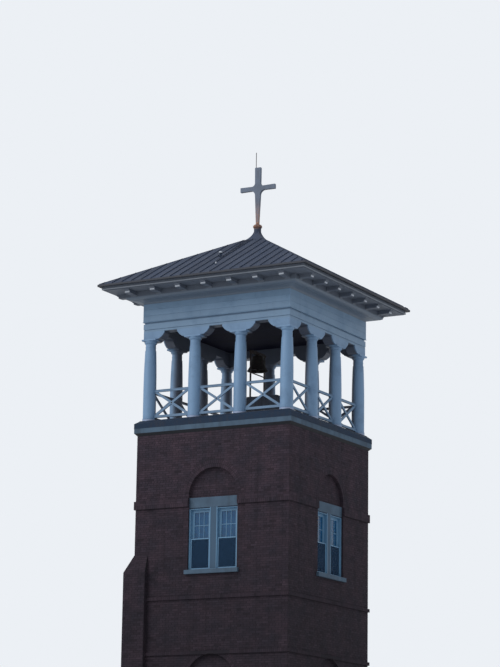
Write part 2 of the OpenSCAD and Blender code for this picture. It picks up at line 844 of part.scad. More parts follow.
// Two posts on the platform with a bearing at the top of each and a tie bar below the bell.
module bell_stand() {
    color(iron) translate([bell_shift, 0, 0]) difference() {
        union() {
            for (y = [-1, 1]) translate([0, y * post_y, 0]) {
                translate([-90, -post_d / 2, platform_z]) cube([180, post_d, 24]);
                translate([-post_w / 2, -post_d / 2, platform_z])
                    cube([post_w, post_d, axle_z - platform_z]);
                translate([0, post_d / 2, axle_z]) rotate([90, 0, 0])
                    cylinder(h = post_d, r = bearing_half, $fn = round_fn);
            }
            translate([-post_w / 2 + 5, -post_y, tie_top - 30])
                cube([post_w - 10, post_gap, 30]);
        }
        translate([0, post_y + post_d, axle_z]) rotate([90, 0, 0])
            cylinder(h = post_gap + 2 * post_d, r = bearing_r, $fn = round_fn);
    }
}

// Iron yoke that carries the bell by its crown, with a gudgeon pin at each end.
module bell_yoke() {
    inner = post_y - post_d / 2 - 12;
    color(iron) translate([bell_shift, 0, 0]) union() {
        translate([0, post_y + post_d / 2 + 8, axle_z]) rotate([90, 0, 0])
            cylinder(h = post_gap + post_d + 16, r = gudgeon_r, $fn = round_fn);
        translate([-44, -inner, axle_z - 44]) cube([88, 2 * inner, 92]);
        translate([0, 0, axle_z - yoke_rise]) cylinder(h = yoke_rise, r = 70, $fn = round_fn);
    }
}

// Bell profile, a flared body with a thick lip and a domed crown; t runs from the lip upwards.
function bell_outer(t) = bell_r * (0.5 + 0.5 * pow(1 - t, 2.6) + 0.05 * sin(180 * t));
function bell_wall(t) = bell_lip_t * (0.5 + 0.5 * pow(1 - t, 6));

module bell() {
    steps = 14;
    shoulder = 0.86;
    dome_r = bell_outer(shoulder);
    dome_h = bell_h * (1 - shoulder);
    outer = [for (i = [0:steps]) let (t = shoulder * i / steps) [bell_outer(t), bell_h * t]];
    dome = [for (a = [15:15:75]) [70 + (dome_r - 70) * cos(a), bell_h - dome_h + dome_h * sin(a)]];
    inner_dome = [for (a = [90:-15:0])
        [(dome_r - 24) * cos(a), bell_h - dome_h - 10 + (dome_h - 14) * sin(a)]];
    inner = [for (i = [steps - 1:-1:1]) let (t = shoulder * i / steps)
        [bell_outer(t) - bell_wall(t), bell_h * t]];
    color("#6d5a3a") translate([bell_shift, 0, lip_z]) union() {
        rotate_extrude($fn = round_fn) polygon(concat(
            outer, dome, [[70, bell_h], [0, bell_h]], inner_dome, inner,
            [[bell_r - bell_lip_t, 0]]
        ));
        for (y = [-1, 1]) translate([-11, y * 26 - 7, bell_h - 96 - 20]) cube([22, 14, 20 + 80]);
        translate([0, 33, bell_h - 96]) rotate([90, 0, 0]) cylinder(h = 66, r = 9, $fn = 32);
    }
}

// Clapper: an eye on the staple pin, a tapered rod, a ball and a short tail.
module clapper() {
    color(iron) translate([bell_shift, 0, staple_z]) difference() {
        union() {
            translate([0, 12, 0]) rotate([90, 0, 0]) cylinder(h = 24, r = 22, $fn = 32);
            translate([0, 0, -clapper_l]) cylinder(h = clapper_l - 14, r = 10, $fn = 32);
            translate([0, 0, -clapper_l]) sphere(clapper_r, $fn = 32);
            translate([0, 0, -clapper_l - clapper_r - 26]) cylinder(h = 50, r = 13, $fn = 32);
        }
        translate([0, 20, 0]) rotate([90, 0, 0]) cylinder(h = 40, r = 9 + pin_clear, $fn = 32);
    }
}

front_wall();
right_wall();
back_wall();
left_wall();
front_left_buttress();
back_left_buttress();
ground_floor();
middle_floor();
upper_floor();
window_sills();
window_lintels();
window_frames();
window_sashes();
window_glass();
door_frame();
door();
front_coping();
right_coping();
back_coping();
left_coping();
belfry_deck();
corner_columns();
middle_columns();
corner_brackets();
middle_brackets();
front_railing();
right_railing();
back_railing();
left_railing();
front_entablature();
right_entablature();
back_entablature();
left_entablature();
belfry_ceiling();
eave_brackets();
front_eave();
right_eave();
back_eave();
left_eave();
roof();
roof_finial();
cross();
lightning_rod();
bell_platform();
bell_stand();
bell_yoke();
bell();
clapper();
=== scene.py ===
"""Looks of a square brick bell tower with an open timber belfry and a standing-seam roof.

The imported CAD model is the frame: its walls become the mortar behind real bricks, and its
timber, stone and metal solids get weathered finishes with boards, seams and bars on them.
Lengths are in metres on the frame's axes, with +Z up and the front face towards -Y.
"""

import logging
import math
from collections.abc import Callable, Iterable, Sequence
from dataclasses import dataclass, field
from enum import Enum

import bmesh
import bpy
import numpy as np
from mathutils import Matrix, Vector


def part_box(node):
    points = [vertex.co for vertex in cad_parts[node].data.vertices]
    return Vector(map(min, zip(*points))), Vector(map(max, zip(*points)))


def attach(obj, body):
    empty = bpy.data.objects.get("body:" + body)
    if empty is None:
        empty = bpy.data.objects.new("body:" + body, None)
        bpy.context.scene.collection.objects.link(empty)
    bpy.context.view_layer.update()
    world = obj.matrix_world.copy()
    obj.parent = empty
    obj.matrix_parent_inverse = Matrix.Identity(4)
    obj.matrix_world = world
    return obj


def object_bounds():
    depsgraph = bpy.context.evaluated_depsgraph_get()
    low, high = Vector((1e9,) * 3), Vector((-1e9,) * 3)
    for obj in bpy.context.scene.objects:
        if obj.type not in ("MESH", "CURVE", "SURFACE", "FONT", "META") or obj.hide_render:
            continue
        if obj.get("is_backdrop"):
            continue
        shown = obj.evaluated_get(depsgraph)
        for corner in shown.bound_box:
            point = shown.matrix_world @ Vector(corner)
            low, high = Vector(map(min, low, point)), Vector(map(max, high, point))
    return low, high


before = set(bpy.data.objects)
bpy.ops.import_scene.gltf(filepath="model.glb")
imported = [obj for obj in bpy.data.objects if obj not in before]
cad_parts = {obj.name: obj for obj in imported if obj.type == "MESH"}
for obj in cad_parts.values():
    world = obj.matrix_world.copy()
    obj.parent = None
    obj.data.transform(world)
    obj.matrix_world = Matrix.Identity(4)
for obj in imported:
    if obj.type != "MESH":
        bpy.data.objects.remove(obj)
CAD_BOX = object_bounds()
LOG = logging.getLogger("bell_tower")
SEED = 1887

Point = tuple[float, float, float]
Flat = tuple[float, float]
Span = tuple[float, float, float, float]
Colour = tuple[int, int, int]
Socket = bpy.types.NodeSocket

# How deep added boards and bars reach into the solid that carries them.
SINK = 0.004


class Side(Enum):
    """A face of the tower; its value counts quarter turns from the front."""

    FRONT = 0
    RIGHT = 1
    BACK = 2
    LEFT = 3

    def turn(self, points: np.ndarray) -> np.ndarray:
        """Turns points that are drawn for the front round to this side.

        Args:
            points: Rows of x, y and z in metres, with the front towards -Y.
        Returns:
            The same rows on this side of the tower.
        """
        cos, sin = ((1, 0), (0, 1), (-1, 0), (0, -1))[self.value]
        x, y, z = np.asarray(points, float).T
        return np.column_stack((cos * x - sin * y, sin * x + cos * y, z))


def strips(low: float, high: float, count: int, gap: float) -> list[Flat]:
    """Gives the ends of equal strips that fill a width, with a gap between neighbours."""
    step = (high - low) / count
    return [(low + i * step + gap / 2, low + (i + 1) * step - gap / 2) for i in range(count)]


def add_object(name: str, data: bpy.types.ID) -> bpy.types.Object:
    """Puts a new object that shows some data into the scene."""
    made = bpy.data.objects.new(name, data)
    bpy.context.scene.collection.objects.link(made)
    return made


# --- Finishes -----------------------------------------------------------------------------


def linear(colour: Colour) -> tuple[float, float, float, float]:
    """Gives the linear colour, with alpha, of an 8-bit display colour."""
    parts = [c / 255 for c in colour]
    return (*[p / 12.92 if p <= 0.04045 else ((p + 0.055) / 1.055) ** 2.4 for p in parts], 1.0)


def shade(colour: Colour, gain: float) -> Colour:
    """Gives a darker or lighter display colour."""
    return tuple(min(255, round(gain * c)) for c in colour)


def put(tree: bpy.types.NodeTree, socket: Socket, value: object) -> None:
    """Links an input of a node to another socket, or sets its value."""
    if isinstance(value, Socket):
        tree.links.new(value, socket)
    else:
        socket.default_value = value


def add_node(tree: bpy.types.NodeTree, kind: str, inputs: dict,
             **settings: object) -> bpy.types.Node:
    """Adds a node to a tree.

    Args:
        tree: Node tree of a material or of the world.
        kind: Blender's name of the node type.
        inputs: Values or sockets for its inputs, by name or number.
        settings: Attributes of the node, such as its operation.
    Returns:
        The new node.
    """
    made = tree.nodes.new(kind)
    for key, value in settings.items():
        setattr(made, key, value)
    for key, value in inputs.items():
        put(tree, made.inputs[key], value)
    return made


class Graph:
    """Node tree of one material, with short calls for the nodes that the finishes share."""

    def __init__(self, name: str) -> None:
        """Starts a material that holds one principled shader."""
        self.material = bpy.data.materials.new(name)
        self.material.use_nodes = True
        self.tree = self.material.node_tree
        self.tree.nodes.clear()
        self.shader = add_node(self.tree, "ShaderNodeBsdfPrincipled", {})
        add_node(self.tree, "ShaderNodeOutputMaterial", {"Surface": self.shader.outputs["BSDF"]})
        self.place = add_node(self.tree, "ShaderNodeTexCoord", {}).outputs["Object"]

    def out(self, kind: str, inputs: dict, output: int | str = 0, **settings: object) -> Socket:
        """Adds a node and gives one of its outputs."""
        return add_node(self.tree, kind, inputs, **settings).outputs[output]

    def axis(self, number: int) -> Socket:
        """Gives the distance along X, Y or Z, whose number is 0, 1 or 2."""
        return self.out("ShaderNodeSeparateXYZ", {0: self.place}, number)

    def noise(self, scale: float, stretch: Point = (1, 1, 1), detail: float = 5,
              rough: float = 0.55) -> Socket:
        """Adds soft noise fixed to the object, stretched along its axes by 1 / stretch."""
        spread = self.out("ShaderNodeMapping", {"Vector": self.place, "Scale": stretch})
        return self.out("ShaderNodeTexNoise", {
            "Vector": spread, "Scale": scale, "Detail": detail, "Roughness": rough}, "Fac")

    def patches(self, scale: float, low: float, high: float, **looks: object) -> Socket:
        """Gives patches of noise: 0 where it lies under low, and 1 where it lies over high."""
        return self.steps(self.noise(scale, **looks), low, high)

    def steps(self, fac: Socket, low: float, high: float) -> Socket:
        """Stretches the range from low to high of a value to the range from 0 to 1."""
        return self.out("ShaderNodeMapRange", {0: fac, 1: low, 2: high})

    def mix(self, fac: object, a: object, b: object) -> Socket:
        """Mixes two colours or colour sockets by a factor."""
        return self.out("ShaderNodeMix", {0: fac, 6: a, 7: b}, 2, data_type="RGBA")

    def sum(self, op: str, a: object, b: object) -> Socket:
        """Joins two values by one operation of arithmetic."""
        return self.out("ShaderNodeMath", {0: a, 1: b}, operation=op)

    def coat(self, below: Socket, mask: Socket, share: float, over: Colour) -> Socket:
        """Lays a display colour over another, as thick as a mask and a share say."""
        return self.mix(self.sum("MULTIPLY", mask, share), below, linear(over))

    def paint(self, colour: Socket, gain: float) -> None:
        """Sets the shader's colour, by the tone that each brick, board or sheet carries."""
        tone = self.out("ShaderNodeAttribute", {}, "Fac", attribute_name="tone")
        value = self.out("ShaderNodeMath", {0: tone, 1: gain, 2: 1.0}, operation="MULTIPLY_ADD")
        self.set("Base Color", self.out("ShaderNodeHueSaturation", {
            "Value": value, "Color": colour}))

    def roughen(self, mask: Socket, share: float, least: float) -> None:
        """Sets the shader's roughness, which grows from the least one by a share of a mask."""
        self.set("Roughness", self.sum("ADD", self.sum("MULTIPLY", mask, share), least))

    def bump(self, height: Socket, depth: float, strength: float = 0.6) -> None:
        """Raises the surface by a value, up to a depth in metres."""
        self.set("Normal", self.out("ShaderNodeBump", {
            "Height": height, "Distance": depth, "Strength": strength}))

    def set(self, name: str, value: object) -> None:
        """Sets or links an input of the shader."""
        put(self.tree, self.shader.inputs[name], value)


@dataclass(frozen=True)
class Finish:
    """A surface finish: its name and colour, and the colour that wear or dirt gives it."""

    name: str
    colour: Colour
    worn: Colour
    roughness: float = 0.7
    gloss: float = 0.5

    def base(self, graph: Graph, mask: Socket) -> Socket:
        """Gives the finish's colour, worn where a mask is 1."""
        return graph.mix(mask, linear(self.colour), linear(self.worn))

    def dress(self, graph: Graph) -> None:
        """Draws the finish into a node tree."""
        raise NotImplementedError

    def material(self) -> bpy.types.Material:
        """Gives the material of this finish, which is made the first time it is asked for."""
        found = bpy.data.materials.get(self.name)
        if found:
            return found
        graph = Graph(self.name)
        graph.set("Roughness", self.roughness)
        graph.set("Specular IOR Level", self.gloss)
        self.dress(graph)
        return graph.material


@dataclass(frozen=True)
class Masonry(Finish):
    """Brick, mortar or stone: sandy grain, pits, damp blotches and streaks of soot.

    A dark painted shade, set by two heights, thickens from the first height down to the second one.
    """

    grain: float = 160.0
    pit: float = 0.0012
    soot: float = 0.35
    tone_gain: float = 0.22
    painted_shade: tuple[float, float] | None = None
    painted_shade_cover: float = 0.5
    black: Colour = (24, 22, 28)

    def dress(self, graph: Graph) -> None:
        """Draws grain and pits over blotches, and soot that runs down the wall."""
        sand = graph.noise(self.grain, detail=3)
        colour = self.base(graph, graph.patches(2.4, 0.35, 0.7, detail=6))
        colour = graph.coat(colour, graph.steps(sand, 0.3, 0.7), 0.35, self.worn)
        run = graph.patches(1.6, 0.48, 0.72, stretch=(3, 3, 0.35), detail=4)
        colour = graph.coat(colour, run, self.soot, shade(self.worn, 0.55))
        # Painted shade: a dark colour that thickens downwards between two heights.
        if self.painted_shade:
            cover = graph.steps(graph.axis(2), *self.painted_shade)
            colour = graph.coat(colour, cover, self.painted_shade_cover, self.black)
        graph.paint(colour, self.tone_gain)
        pits = graph.out("ShaderNodeTexVoronoi", {
            "Vector": graph.place, "Scale": self.grain / 2}, "Distance")
        graph.bump(graph.sum("ADD", graph.steps(pits, 0.05, 0.35), sand), self.pit)


@dataclass(frozen=True)
class Paint(Finish):
    """Old oil paint on timber: brush grain, thin places, drips of dirt and fine cracks.

    Paint nearer to the tower's axis than the core is darkened with soot and painted shade, above
    the cornice level it is grey as painted shade under the eaves, and below the foot level it is
    paler as a painted highlight.
    """

    dirt: float = 0.5
    tone_gain: float = 0.10
    core: float = 0.0
    core_blend: float = 0.02
    soot_and_shade: Colour = (70, 74, 88)
    foot: float = 0.0
    pale: Colour = (146, 160, 190)
    cornice: float = 0.0
    grey: Colour = (88, 99, 114)
    level_blend: float = 0.004

    def soot(self, graph: Graph) -> Socket:
        """Gives 1 where soot and painted shade darken the paint, and 0 on the outer faces."""
        reach = graph.sum("MAXIMUM", *[graph.sum("ABSOLUTE", graph.axis(i), 0) for i in (0, 1)])
        return graph.steps(reach, self.core + self.core_blend, self.core - self.core_blend)

    def dress(self, graph: Graph) -> None:
        """Draws dirt that runs down, worn patches and the grain of the timber below."""
        streak = graph.patches(2.6, 0.5, 0.8, stretch=(1, 1, 0.12))
        patch = graph.patches(1.7, 0.5, 0.72, detail=7, rough=0.65)
        dirt = graph.sum("MULTIPLY", graph.sum("MAXIMUM", streak, patch), self.dirt)
        chip = graph.patches(38, 0.66, 0.72, stretch=(1, 1, 0.5), detail=4)
        colour = graph.coat(self.base(graph, dirt), chip, 0.55, shade(self.worn, 0.62))
        if self.core:
            # Soot and painted shade darken the paint inside the belfry.
            colour = graph.coat(colour, self.soot(graph), 0.9, self.soot_and_shade)
        # Paler paint below the foot level is a painted highlight on the column plinths, and grey
        # paint above the cornice level is painted shade under the eaves.
        for level, side, share, over in ((self.foot, -1, 0.8, self.pale),
                                         (self.cornice, 1, 0.85, self.grey)):
            if level:
                blend = side * self.level_blend
                past = graph.steps(graph.axis(2), level - blend, level + blend)
                colour = graph.coat(colour, past, share, over)
        graph.paint(colour, self.tone_gain)
        graph.roughen(patch, 0.2, self.roughness)
        brush = graph.noise(70, stretch=(1, 1, 0.12), detail=3)
        graph.bump(graph.sum("SUBTRACT", brush, chip), 0.0012, 0.5)


@dataclass(frozen=True)
class Timber(Finish):
    """Bare weathered timber with its grain along one axis."""

    along: Point = (0.06, 1, 1)

    def dress(self, graph: Graph) -> None:
        """Draws long grain lines, silvered patches and open checks."""
        grain = graph.noise(48, stretch=self.along, detail=6, rough=0.6)
        colour = self.base(graph, graph.steps(grain, 0.32, 0.68))
        graph.paint(graph.coat(colour, graph.patches(1.9, 0.4, 0.7), 0.5, shade(self.worn, 1.35)),
                    0.25)
        graph.bump(grain, 0.002, 0.7)


@dataclass(frozen=True)
class SheetMetal(Finish):
    """Painted sheet metal: chalky fade, rain streaks, specks of rust and slight dents.

    Where rust is set, it is the height at which a warm painted sun glare, drawn as patches of rust,
    lies thickest, and it thins out above it.
    """

    metallic: float = 0.35
    rain: Colour = (60, 54, 52)
    speck: Colour = (92, 62, 48)
    rust: float = 0.0
    glare_below: float = 0.22
    glare_above: float = 0.75
    rusty: Colour = (150, 112, 92)

    def glare_mask(self, graph: Graph) -> Socket:
        """Gives 1 where the painted sun glare, drawn as rust, covers the metal, and 0 elsewhere."""
        height = graph.axis(2)
        above = graph.steps(height, self.rust + self.glare_above, self.rust)
        below = graph.steps(height, self.rust - self.glare_below, self.rust - self.glare_below / 2)
        return graph.sum("MULTIPLY", graph.sum("MULTIPLY", above, below),
                         graph.patches(14, 0.25, 0.6))

    def dress(self, graph: Graph) -> None:
        """Draws fade and streaks over the sheet, with soft dents below."""
        fade = graph.patches(1.3, 0.35, 0.7, detail=6)
        streak = graph.patches(9, 0.5, 0.8, stretch=(1, 1, 0.25))
        colour = graph.coat(self.base(graph, fade), streak, 0.4, self.rain)
        colour = graph.coat(colour, graph.patches(55, 0.68, 0.74, detail=3), 0.5, self.speck)
        # Painted sun glare: a warm band drawn as patches of rust.
        if self.rust:
            colour = graph.mix(self.glare_mask(graph), colour, linear(self.rusty))
        graph.paint(colour, 0.14)
        graph.set("Metallic", self.metallic)
        graph.roughen(fade, 0.2, self.roughness)
        graph.bump(graph.noise(4.5, detail=2), 0.006, 0.35)


@dataclass(frozen=True)
class CastMetal(Finish):
    """Iron or bronze: dark metal with patches of rust or green bloom and a cast skin."""

    metallic: float = 0.7
    bloom: float = 0.6

    def dress(self, graph: Graph) -> None:
        """Draws the bloom over bare metal, rougher where it lies."""
        patch = graph.patches(11, 0.46, 0.66, detail=7, rough=0.65)
        graph.paint(self.base(graph, graph.sum("MULTIPLY", patch, self.bloom)), 0.12)
        graph.set("Metallic", self.metallic)
        graph.roughen(patch, 0.3, self.roughness)
        graph.bump(graph.noise(140, detail=3), 0.0008)


@dataclass(frozen=True)
class Glazing(Finish):
    """Old window glass, slightly wavy, with dust."""

    clear: float = 0.3

    def dress(self, graph: Graph) -> None:
        """Draws a dusty film over clear, tinted glass."""
        dust = graph.patches(6, 0.35, 0.75, detail=6)
        graph.set("Base Color", self.base(graph, dust))
        graph.roughen(dust, 0.08, self.roughness)
        graph.set("Transmission Weight", self.clear)
        graph.set("IOR", 1.5)
        graph.bump(graph.noise(7, detail=1), 0.004, 0.3)


@dataclass(frozen=True)
class WovenWire(Finish):
    """Dark insect screen, fine enough to see through."""

    pitch: float = 0.0016
    cover: float = 0.72

    def dress(self, graph: Graph) -> None:
        """Draws the two sets of wires and the dust that they hold."""
        turn = 2 * math.pi / self.pitch
        waves = [graph.sum("SINE", graph.sum("MULTIPLY", graph.axis(i), turn), 0) for i in range(3)]
        weave = graph.sum("MAXIMUM", graph.sum("MAXIMUM", waves[0], waves[1]), waves[2])
        dust = graph.sum("MULTIPLY", graph.patches(5, 0.4, 0.75, detail=6), 0.6)
        graph.set("Base Color", graph.mix(graph.steps(weave, -1, 1), self.base(graph, dust),
                                          linear(self.worn)))
        graph.set("Alpha", self.cover)
        graph.set("Metallic", 0.3)


class Finishes(Enum):
    """Every finish of the tower."""

    # The brick and the mortar darken from 14.6 m down to 8.4 m and below: painted shade.
    BRICK = Masonry("dark_red_brick", (66, 53, 63), (47, 43, 53), 0.85, gloss=0.15, soot=0.3,
                    painted_shade=(14.6, 8.4))
    MORTAR = Masonry("sooty_mortar", (50, 46, 53), (43, 40, 47), 0.95, gloss=0.15, grain=220,
                     soot=0.3, painted_shade=(14.6, 8.4))
    STONE = Masonry("weathered_stone", (68, 92, 114), (52, 73, 93), 0.8, grain=240,
                    pit=0.0008, soot=0.4, tone_gain=0.1)
    # The coping's underside below 14.57 m is nearly black: a painted shadow line.
    COPING = Masonry("coping_stone", (68, 92, 114), (52, 73, 93), 0.8, grain=240,
                     pit=0.0008, soot=0.4, tone_gain=0.1, painted_shade=(14.572, 14.560),
                     painted_shade_cover=0.93, black=(16, 14, 22))
    # The core darkens these paints inside the belfry with soot and painted shade; the trim's paler
    # foot is a painted highlight on the column plinths.
    TRIM = Paint("old_white_paint", (108, 141, 176), (80, 104, 132), 0.5, core=2.36,
                 core_blend=0.07, foot=15.02)
    BRACKET = Paint("bracket_paint", (104, 136, 170), (80, 104, 132), 0.5, core=2.53)
    # Above the cornice level the frieze paint turns grey: painted shade under the eaves.
    FRIEZE = Paint("frieze_paint", (104, 133, 162), (80, 105, 132), 0.5, dirt=0.35, core=2.53,
                   cornice=18.655)
    SASH = Paint("sash_paint", (90, 131, 164), (68, 100, 128), 0.45, dirt=0.35)
    RAIL = Paint("railing_paint", (97, 127, 158), (72, 95, 119), 0.5, core=2.39)
    POST = Paint("mullion_paint", (39, 71, 97), (32, 58, 81), 0.6)
    # The eave paint is darker than the trim to paint the shade under the eaves.
    EAVE = Paint("eave_paint", (84, 93, 108), (70, 78, 91), 0.6, dirt=0.3)
    FILLET = Paint("fillet_paint", (120, 128, 140), (98, 106, 118), 0.6, dirt=0.3)
    NOSE = Paint("bracket_end_paint", (176, 184, 196), (146, 155, 168), 0.5, dirt=0.2)
    DOOR = Paint("door_paint", (58, 66, 74), (42, 46, 52), 0.5)
    DECK = Timber("grey_deck_board", (88, 92, 100), (62, 62, 68), 0.8)
    # The ceiling boards' near-black blue is painted shade under the roof.
    CEILING = Timber("ceiling_board", (16, 18, 42), (11, 13, 30), 0.8, gloss=0.1)
    FLOOR = Timber("floor_board", (96, 82, 68), (64, 52, 44), 0.8)
    CLADDING = Timber("platform_board", (54, 64, 80), (40, 46, 58), 0.8, along=(1, 1, 0.06))
    ROOF = SheetMetal("grey_roof_sheet", (42, 54, 76), (55, 65, 84), 0.6, gloss=0.2, metallic=0.1)
    LEAD = SheetMetal("lead_flashing", (26, 42, 62), (34, 52, 74), 0.65, gloss=0.2, metallic=0.1)
    EDGE = SheetMetal("roof_edge_metal", (44, 48, 58), (58, 62, 72), 0.5)
    # The rust band on the cross and the finial is a warm painted sun glare.
    CROSS = SheetMetal("cross_metal", (94, 108, 130), (88, 98, 114), 0.5, metallic=0.15, rust=21.6)
    FINIAL = SheetMetal("finial_metal", (52, 62, 84), (66, 75, 92), 0.6, gloss=0.2, metallic=0.1,
                        rust=21.6)
    IRON = CastMetal("rusty_iron", (46, 47, 50), (74, 48, 38), 0.5)
    BRONZE = CastMetal("old_bell_bronze", (34, 30, 30), (28, 32, 34), 0.6, gloss=0.25,
                       metallic=0.15)
    # The glass's blue tint is a painted reflection of the sky.
    GLASS = Glazing("glass_painted_sky_reflection", (20, 88, 136), (16, 70, 112), 0.05)
    SCREEN = WovenWire("insect_screen", (22, 40, 60), (36, 60, 86), 0.8, gloss=0.1)
    PALE = Masonry("pale_floor", (226, 226, 224), (220, 220, 219), 0.9, grain=30, pit=0.0004,
                   soot=0.05)

    def material(self) -> bpy.types.Material:
        """Gives the material of this finish."""
        return self.value.material()


def dress_nodes(finish: Finishes, *names: str) -> None:
    """Gives the CAD nodes of those names one finish."""
    for name in names:
        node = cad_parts[name]
        for slot in node.material_slots:
            slot.material = finish.material()
        if not node.material_slots:
            node.data.materials.append(finish.material())
        LOG.info("node %s: %s", name, finish.value.name)


def dress_sides(finish: Finishes, part: str) -> None:
    """Gives the CAD nodes of a part that each side of the tower has one finish."""
    dress_nodes(finish, *[f"{side.name.lower()}_{part}" for side in Side])


# --- Meshes ---------------------------------------------------------------------------------


@dataclass(frozen=True)
class Plane:
    """A flat place to lay bricks on, with its corner, its two directions and its outer side."""

    corner: Point
    along: Point
    up: Point = (0, 0, 1)

    def at(self, flat: np.ndarray, out: float) -> np.ndarray:
        """Gives points in space for rows of distance along and up, lifted out of the plane."""
        along, up = np.array(self.along, float), np.array(self.up, float)
        lift = np.cross(along, up)
        return np.array(self.corner) + flat[:, :1] * along + flat[:, 1:] * up + out * lift


def chamfered_faces() -> list[list[int]]:
    """Gives the faces of a chamfered block, whose point 3c + a belongs to corner c and axis a."""
    def point(axis: int, at: dict[int, int]) -> int:
        """Gives the number of the point of an axis at a corner, told as 0 or 1 on each axis."""
        return 3 * (4 * at[0] + 2 * at[1] + at[2]) + axis
    faces = [[3 * c, 3 * c + 1, 3 * c + 2] for c in range(8)]
    for axis in range(3):
        b, c = [a for a in range(3) if a != axis]
        for end in (0, 1):
            faces.append([point(axis, {axis: end, b: i, c: j})
                          for i, j in ((0, 0), (1, 0), (1, 1), (0, 1))])
        for i in (0, 1):
            for j in (0, 1):
                low, high = {axis: 0, b: i, c: j}, {axis: 1, b: i, c: j}
                faces.append([point(b, low), point(b, high), point(c, high), point(c, low)])
    return faces


BLOCK_FACES = chamfered_faces()


@dataclass
class Pile:
    """Loose forms gathered for one mesh; every point carries the tone of its brick or board."""

    points: list[np.ndarray] = field(default_factory=list)
    faces: list[list[int]] = field(default_factory=list)
    tones: list[np.ndarray] = field(default_factory=list)
    count: int = 0

    def add(self, points: np.ndarray, faces: Iterable[Sequence[int]],
            tone: float | np.ndarray = 0.0) -> None:
        """Adds one form.

        Args:
            points: Rows of x, y and z in metres.
            faces: Corner numbers of each face, counted from the form's first point.
            tone: How light or dark the form or each of its points is, from -1 to 1.
        """
        self.faces += [[self.count + i for i in face] for face in faces]
        self.points.append(np.asarray(points, float))
        self.tones.append(np.full(len(points), tone))
        self.count += len(points)

    def bricks(self, plane: Plane, quads: list[list[Flat]], tones: list[float], proud: float,
               inset: float = 0.0015, sink: float = 0.0) -> None:
        """Adds bricks with soft edges, each an open shell that stands out of a plane.

        Args:
            plane: Where the bricks lie.
            quads: The four corners of each brick face, counter-clockwise.
            tones: The tone of each brick.
            proud: How far the faces stand out of the plane.
            inset: How much smaller a brick is at its face than at its foot.
            sink: How far the foot lies behind the plane.
        """
        if not quads:
            return
        foot = np.array(quads, float)
        centre = foot.mean(1, keepdims=True)
        reach = np.maximum(np.linalg.norm(foot - centre, axis=2, keepdims=True), 1e-6)
        face = foot + (centre - foot) * np.minimum(1.5 * inset / reach, 0.3)
        rows = len(foot)
        points = np.concatenate((plane.at(foot.reshape(-1, 2), -sink).reshape(rows, 4, 3),
                                 plane.at(face.reshape(-1, 2), proud).reshape(rows, 4, 3)), axis=1)
        shell = np.array([[4, 5, 6, 7], [0, 1, 5, 4], [1, 2, 6, 5], [2, 3, 7, 6], [3, 0, 4, 7]])
        faces = (8 * np.arange(rows)[:, None, None] + shell).reshape(-1, 4).tolist()
        self.add(points.reshape(-1, 3), faces, np.repeat(np.array(tones, float), 8))

    def loft(self, rings: Sequence[Sequence[Point]], side: Side = Side.FRONT,
             tone: float = 0.0) -> None:
        """Adds a closed form whose skin joins rings with as many points each, with flat ends.

        Args:
            rings: The rings from one end to the other, drawn for the front.
            side: The side of the tower that it is turned to.
            tone: Its tone.
        """
        n = len(rings[0])
        last = (len(rings) - 1) * n
        faces = [[k + i, k + (i + 1) % n, k + n + (i + 1) % n, k + n + i]
                 for k in range(0, last, n) for i in range(n)]
        faces += [list(range(n))[::-1], list(range(last, last + n))]
        self.add(side.turn(np.concatenate(rings)), faces, tone)

    def run(self, side: Side, profile: list[Flat], start: float | None = None,
            end: float | None = None, tone: float = 0.0) -> None:
        """Adds a board or moulding along one side of the tower.

        Args:
            side: The side that it lies on.
            profile: Corners of its section, as distance out from the axis and height.
            start: Where it starts along the side, or None for a mitre at the corner.
            end: Where it ends, or None for a mitre.
            tone: Its tone.
        """
        self.loft([[(-out if start is None else start, -out, z) for out, z in profile],
                   [(out if end is None else end, -out, z) for out, z in profile]], side, tone)

    def ring(self, profile: list[Flat], tones: Sequence[float] = (0, 0, 0, 0)) -> None:
        """Adds a mitred run on all four sides."""
        for side in Side:
            self.run(side, profile, tone=tones[side.value])

    def box(self, low: Point, high: Point, side: Side = Side.FRONT, chamfer: float = 0.0,
            tone: float = 0.0) -> None:
        """Adds a block, with its edges cut off by a chamfer where one is given."""
        low, high = np.array(low, float), np.array(high, float)
        centre, half = (low + high) / 2, (high - low) / 2
        cut = min(chamfer, 0.45 * half.min())
        points = [centre + np.array((sx, sy, sz)) * (half - cut * (np.arange(3) != axis))
                  for sx in (-1, 1) for sy in (-1, 1) for sz in (-1, 1) for axis in range(3)]
        self.add(side.turn(np.array(points)), BLOCK_FACES, tone)

    def bar(self, ends: Sequence[Point], section: list[Flat], up: Point = (0, 0, 1),
            side: Side = Side.FRONT) -> None:
        """Adds a straight bar.

        Args:
            ends: The middles of its two ends, drawn for the front.
            section: Corners of the section, as distance sideways and upwards.
            up: Which way is up for the section.
            side: The side of the tower that it is turned to.
        """
        a, b = (Vector(end) for end in ends)
        run = (b - a).normalized()
        across = run.cross(Vector(up)).normalized()
        rise = across.cross(run)
        self.loft([[tuple(end + across * s + rise * t) for s, t in section] for end in (a, b)],
                  side)

    def lathe(self, foot: Point, axis: Point, outline: list[Flat], count: int = 24,
              side: Side = Side.FRONT) -> None:
        """Adds a turned form.

        Args:
            foot: Where the axis starts.
            axis: Direction of the axis.
            outline: Radius and distance along the axis of each ring of points.
            count: How many points a ring has.
            side: The side of the tower that it is turned to.
        """
        spin = Vector((0, 0, 1)).rotation_difference(Vector(axis)).to_matrix()
        turns = np.arange(count) * 2 * math.pi / count
        self.loft([[tuple(Vector(foot) + spin @ Vector((r * math.cos(t), r * math.sin(t), z)))
                    for t in turns] for r, z in outline], side)

    def mirrored(self) -> None:
        """Adds a copy of all that the pile holds, mirrored from the front to the back."""
        self.add(np.concatenate(self.points) * (1, -1, 1), [face[::-1] for face in self.faces],
                 np.concatenate(self.tones))

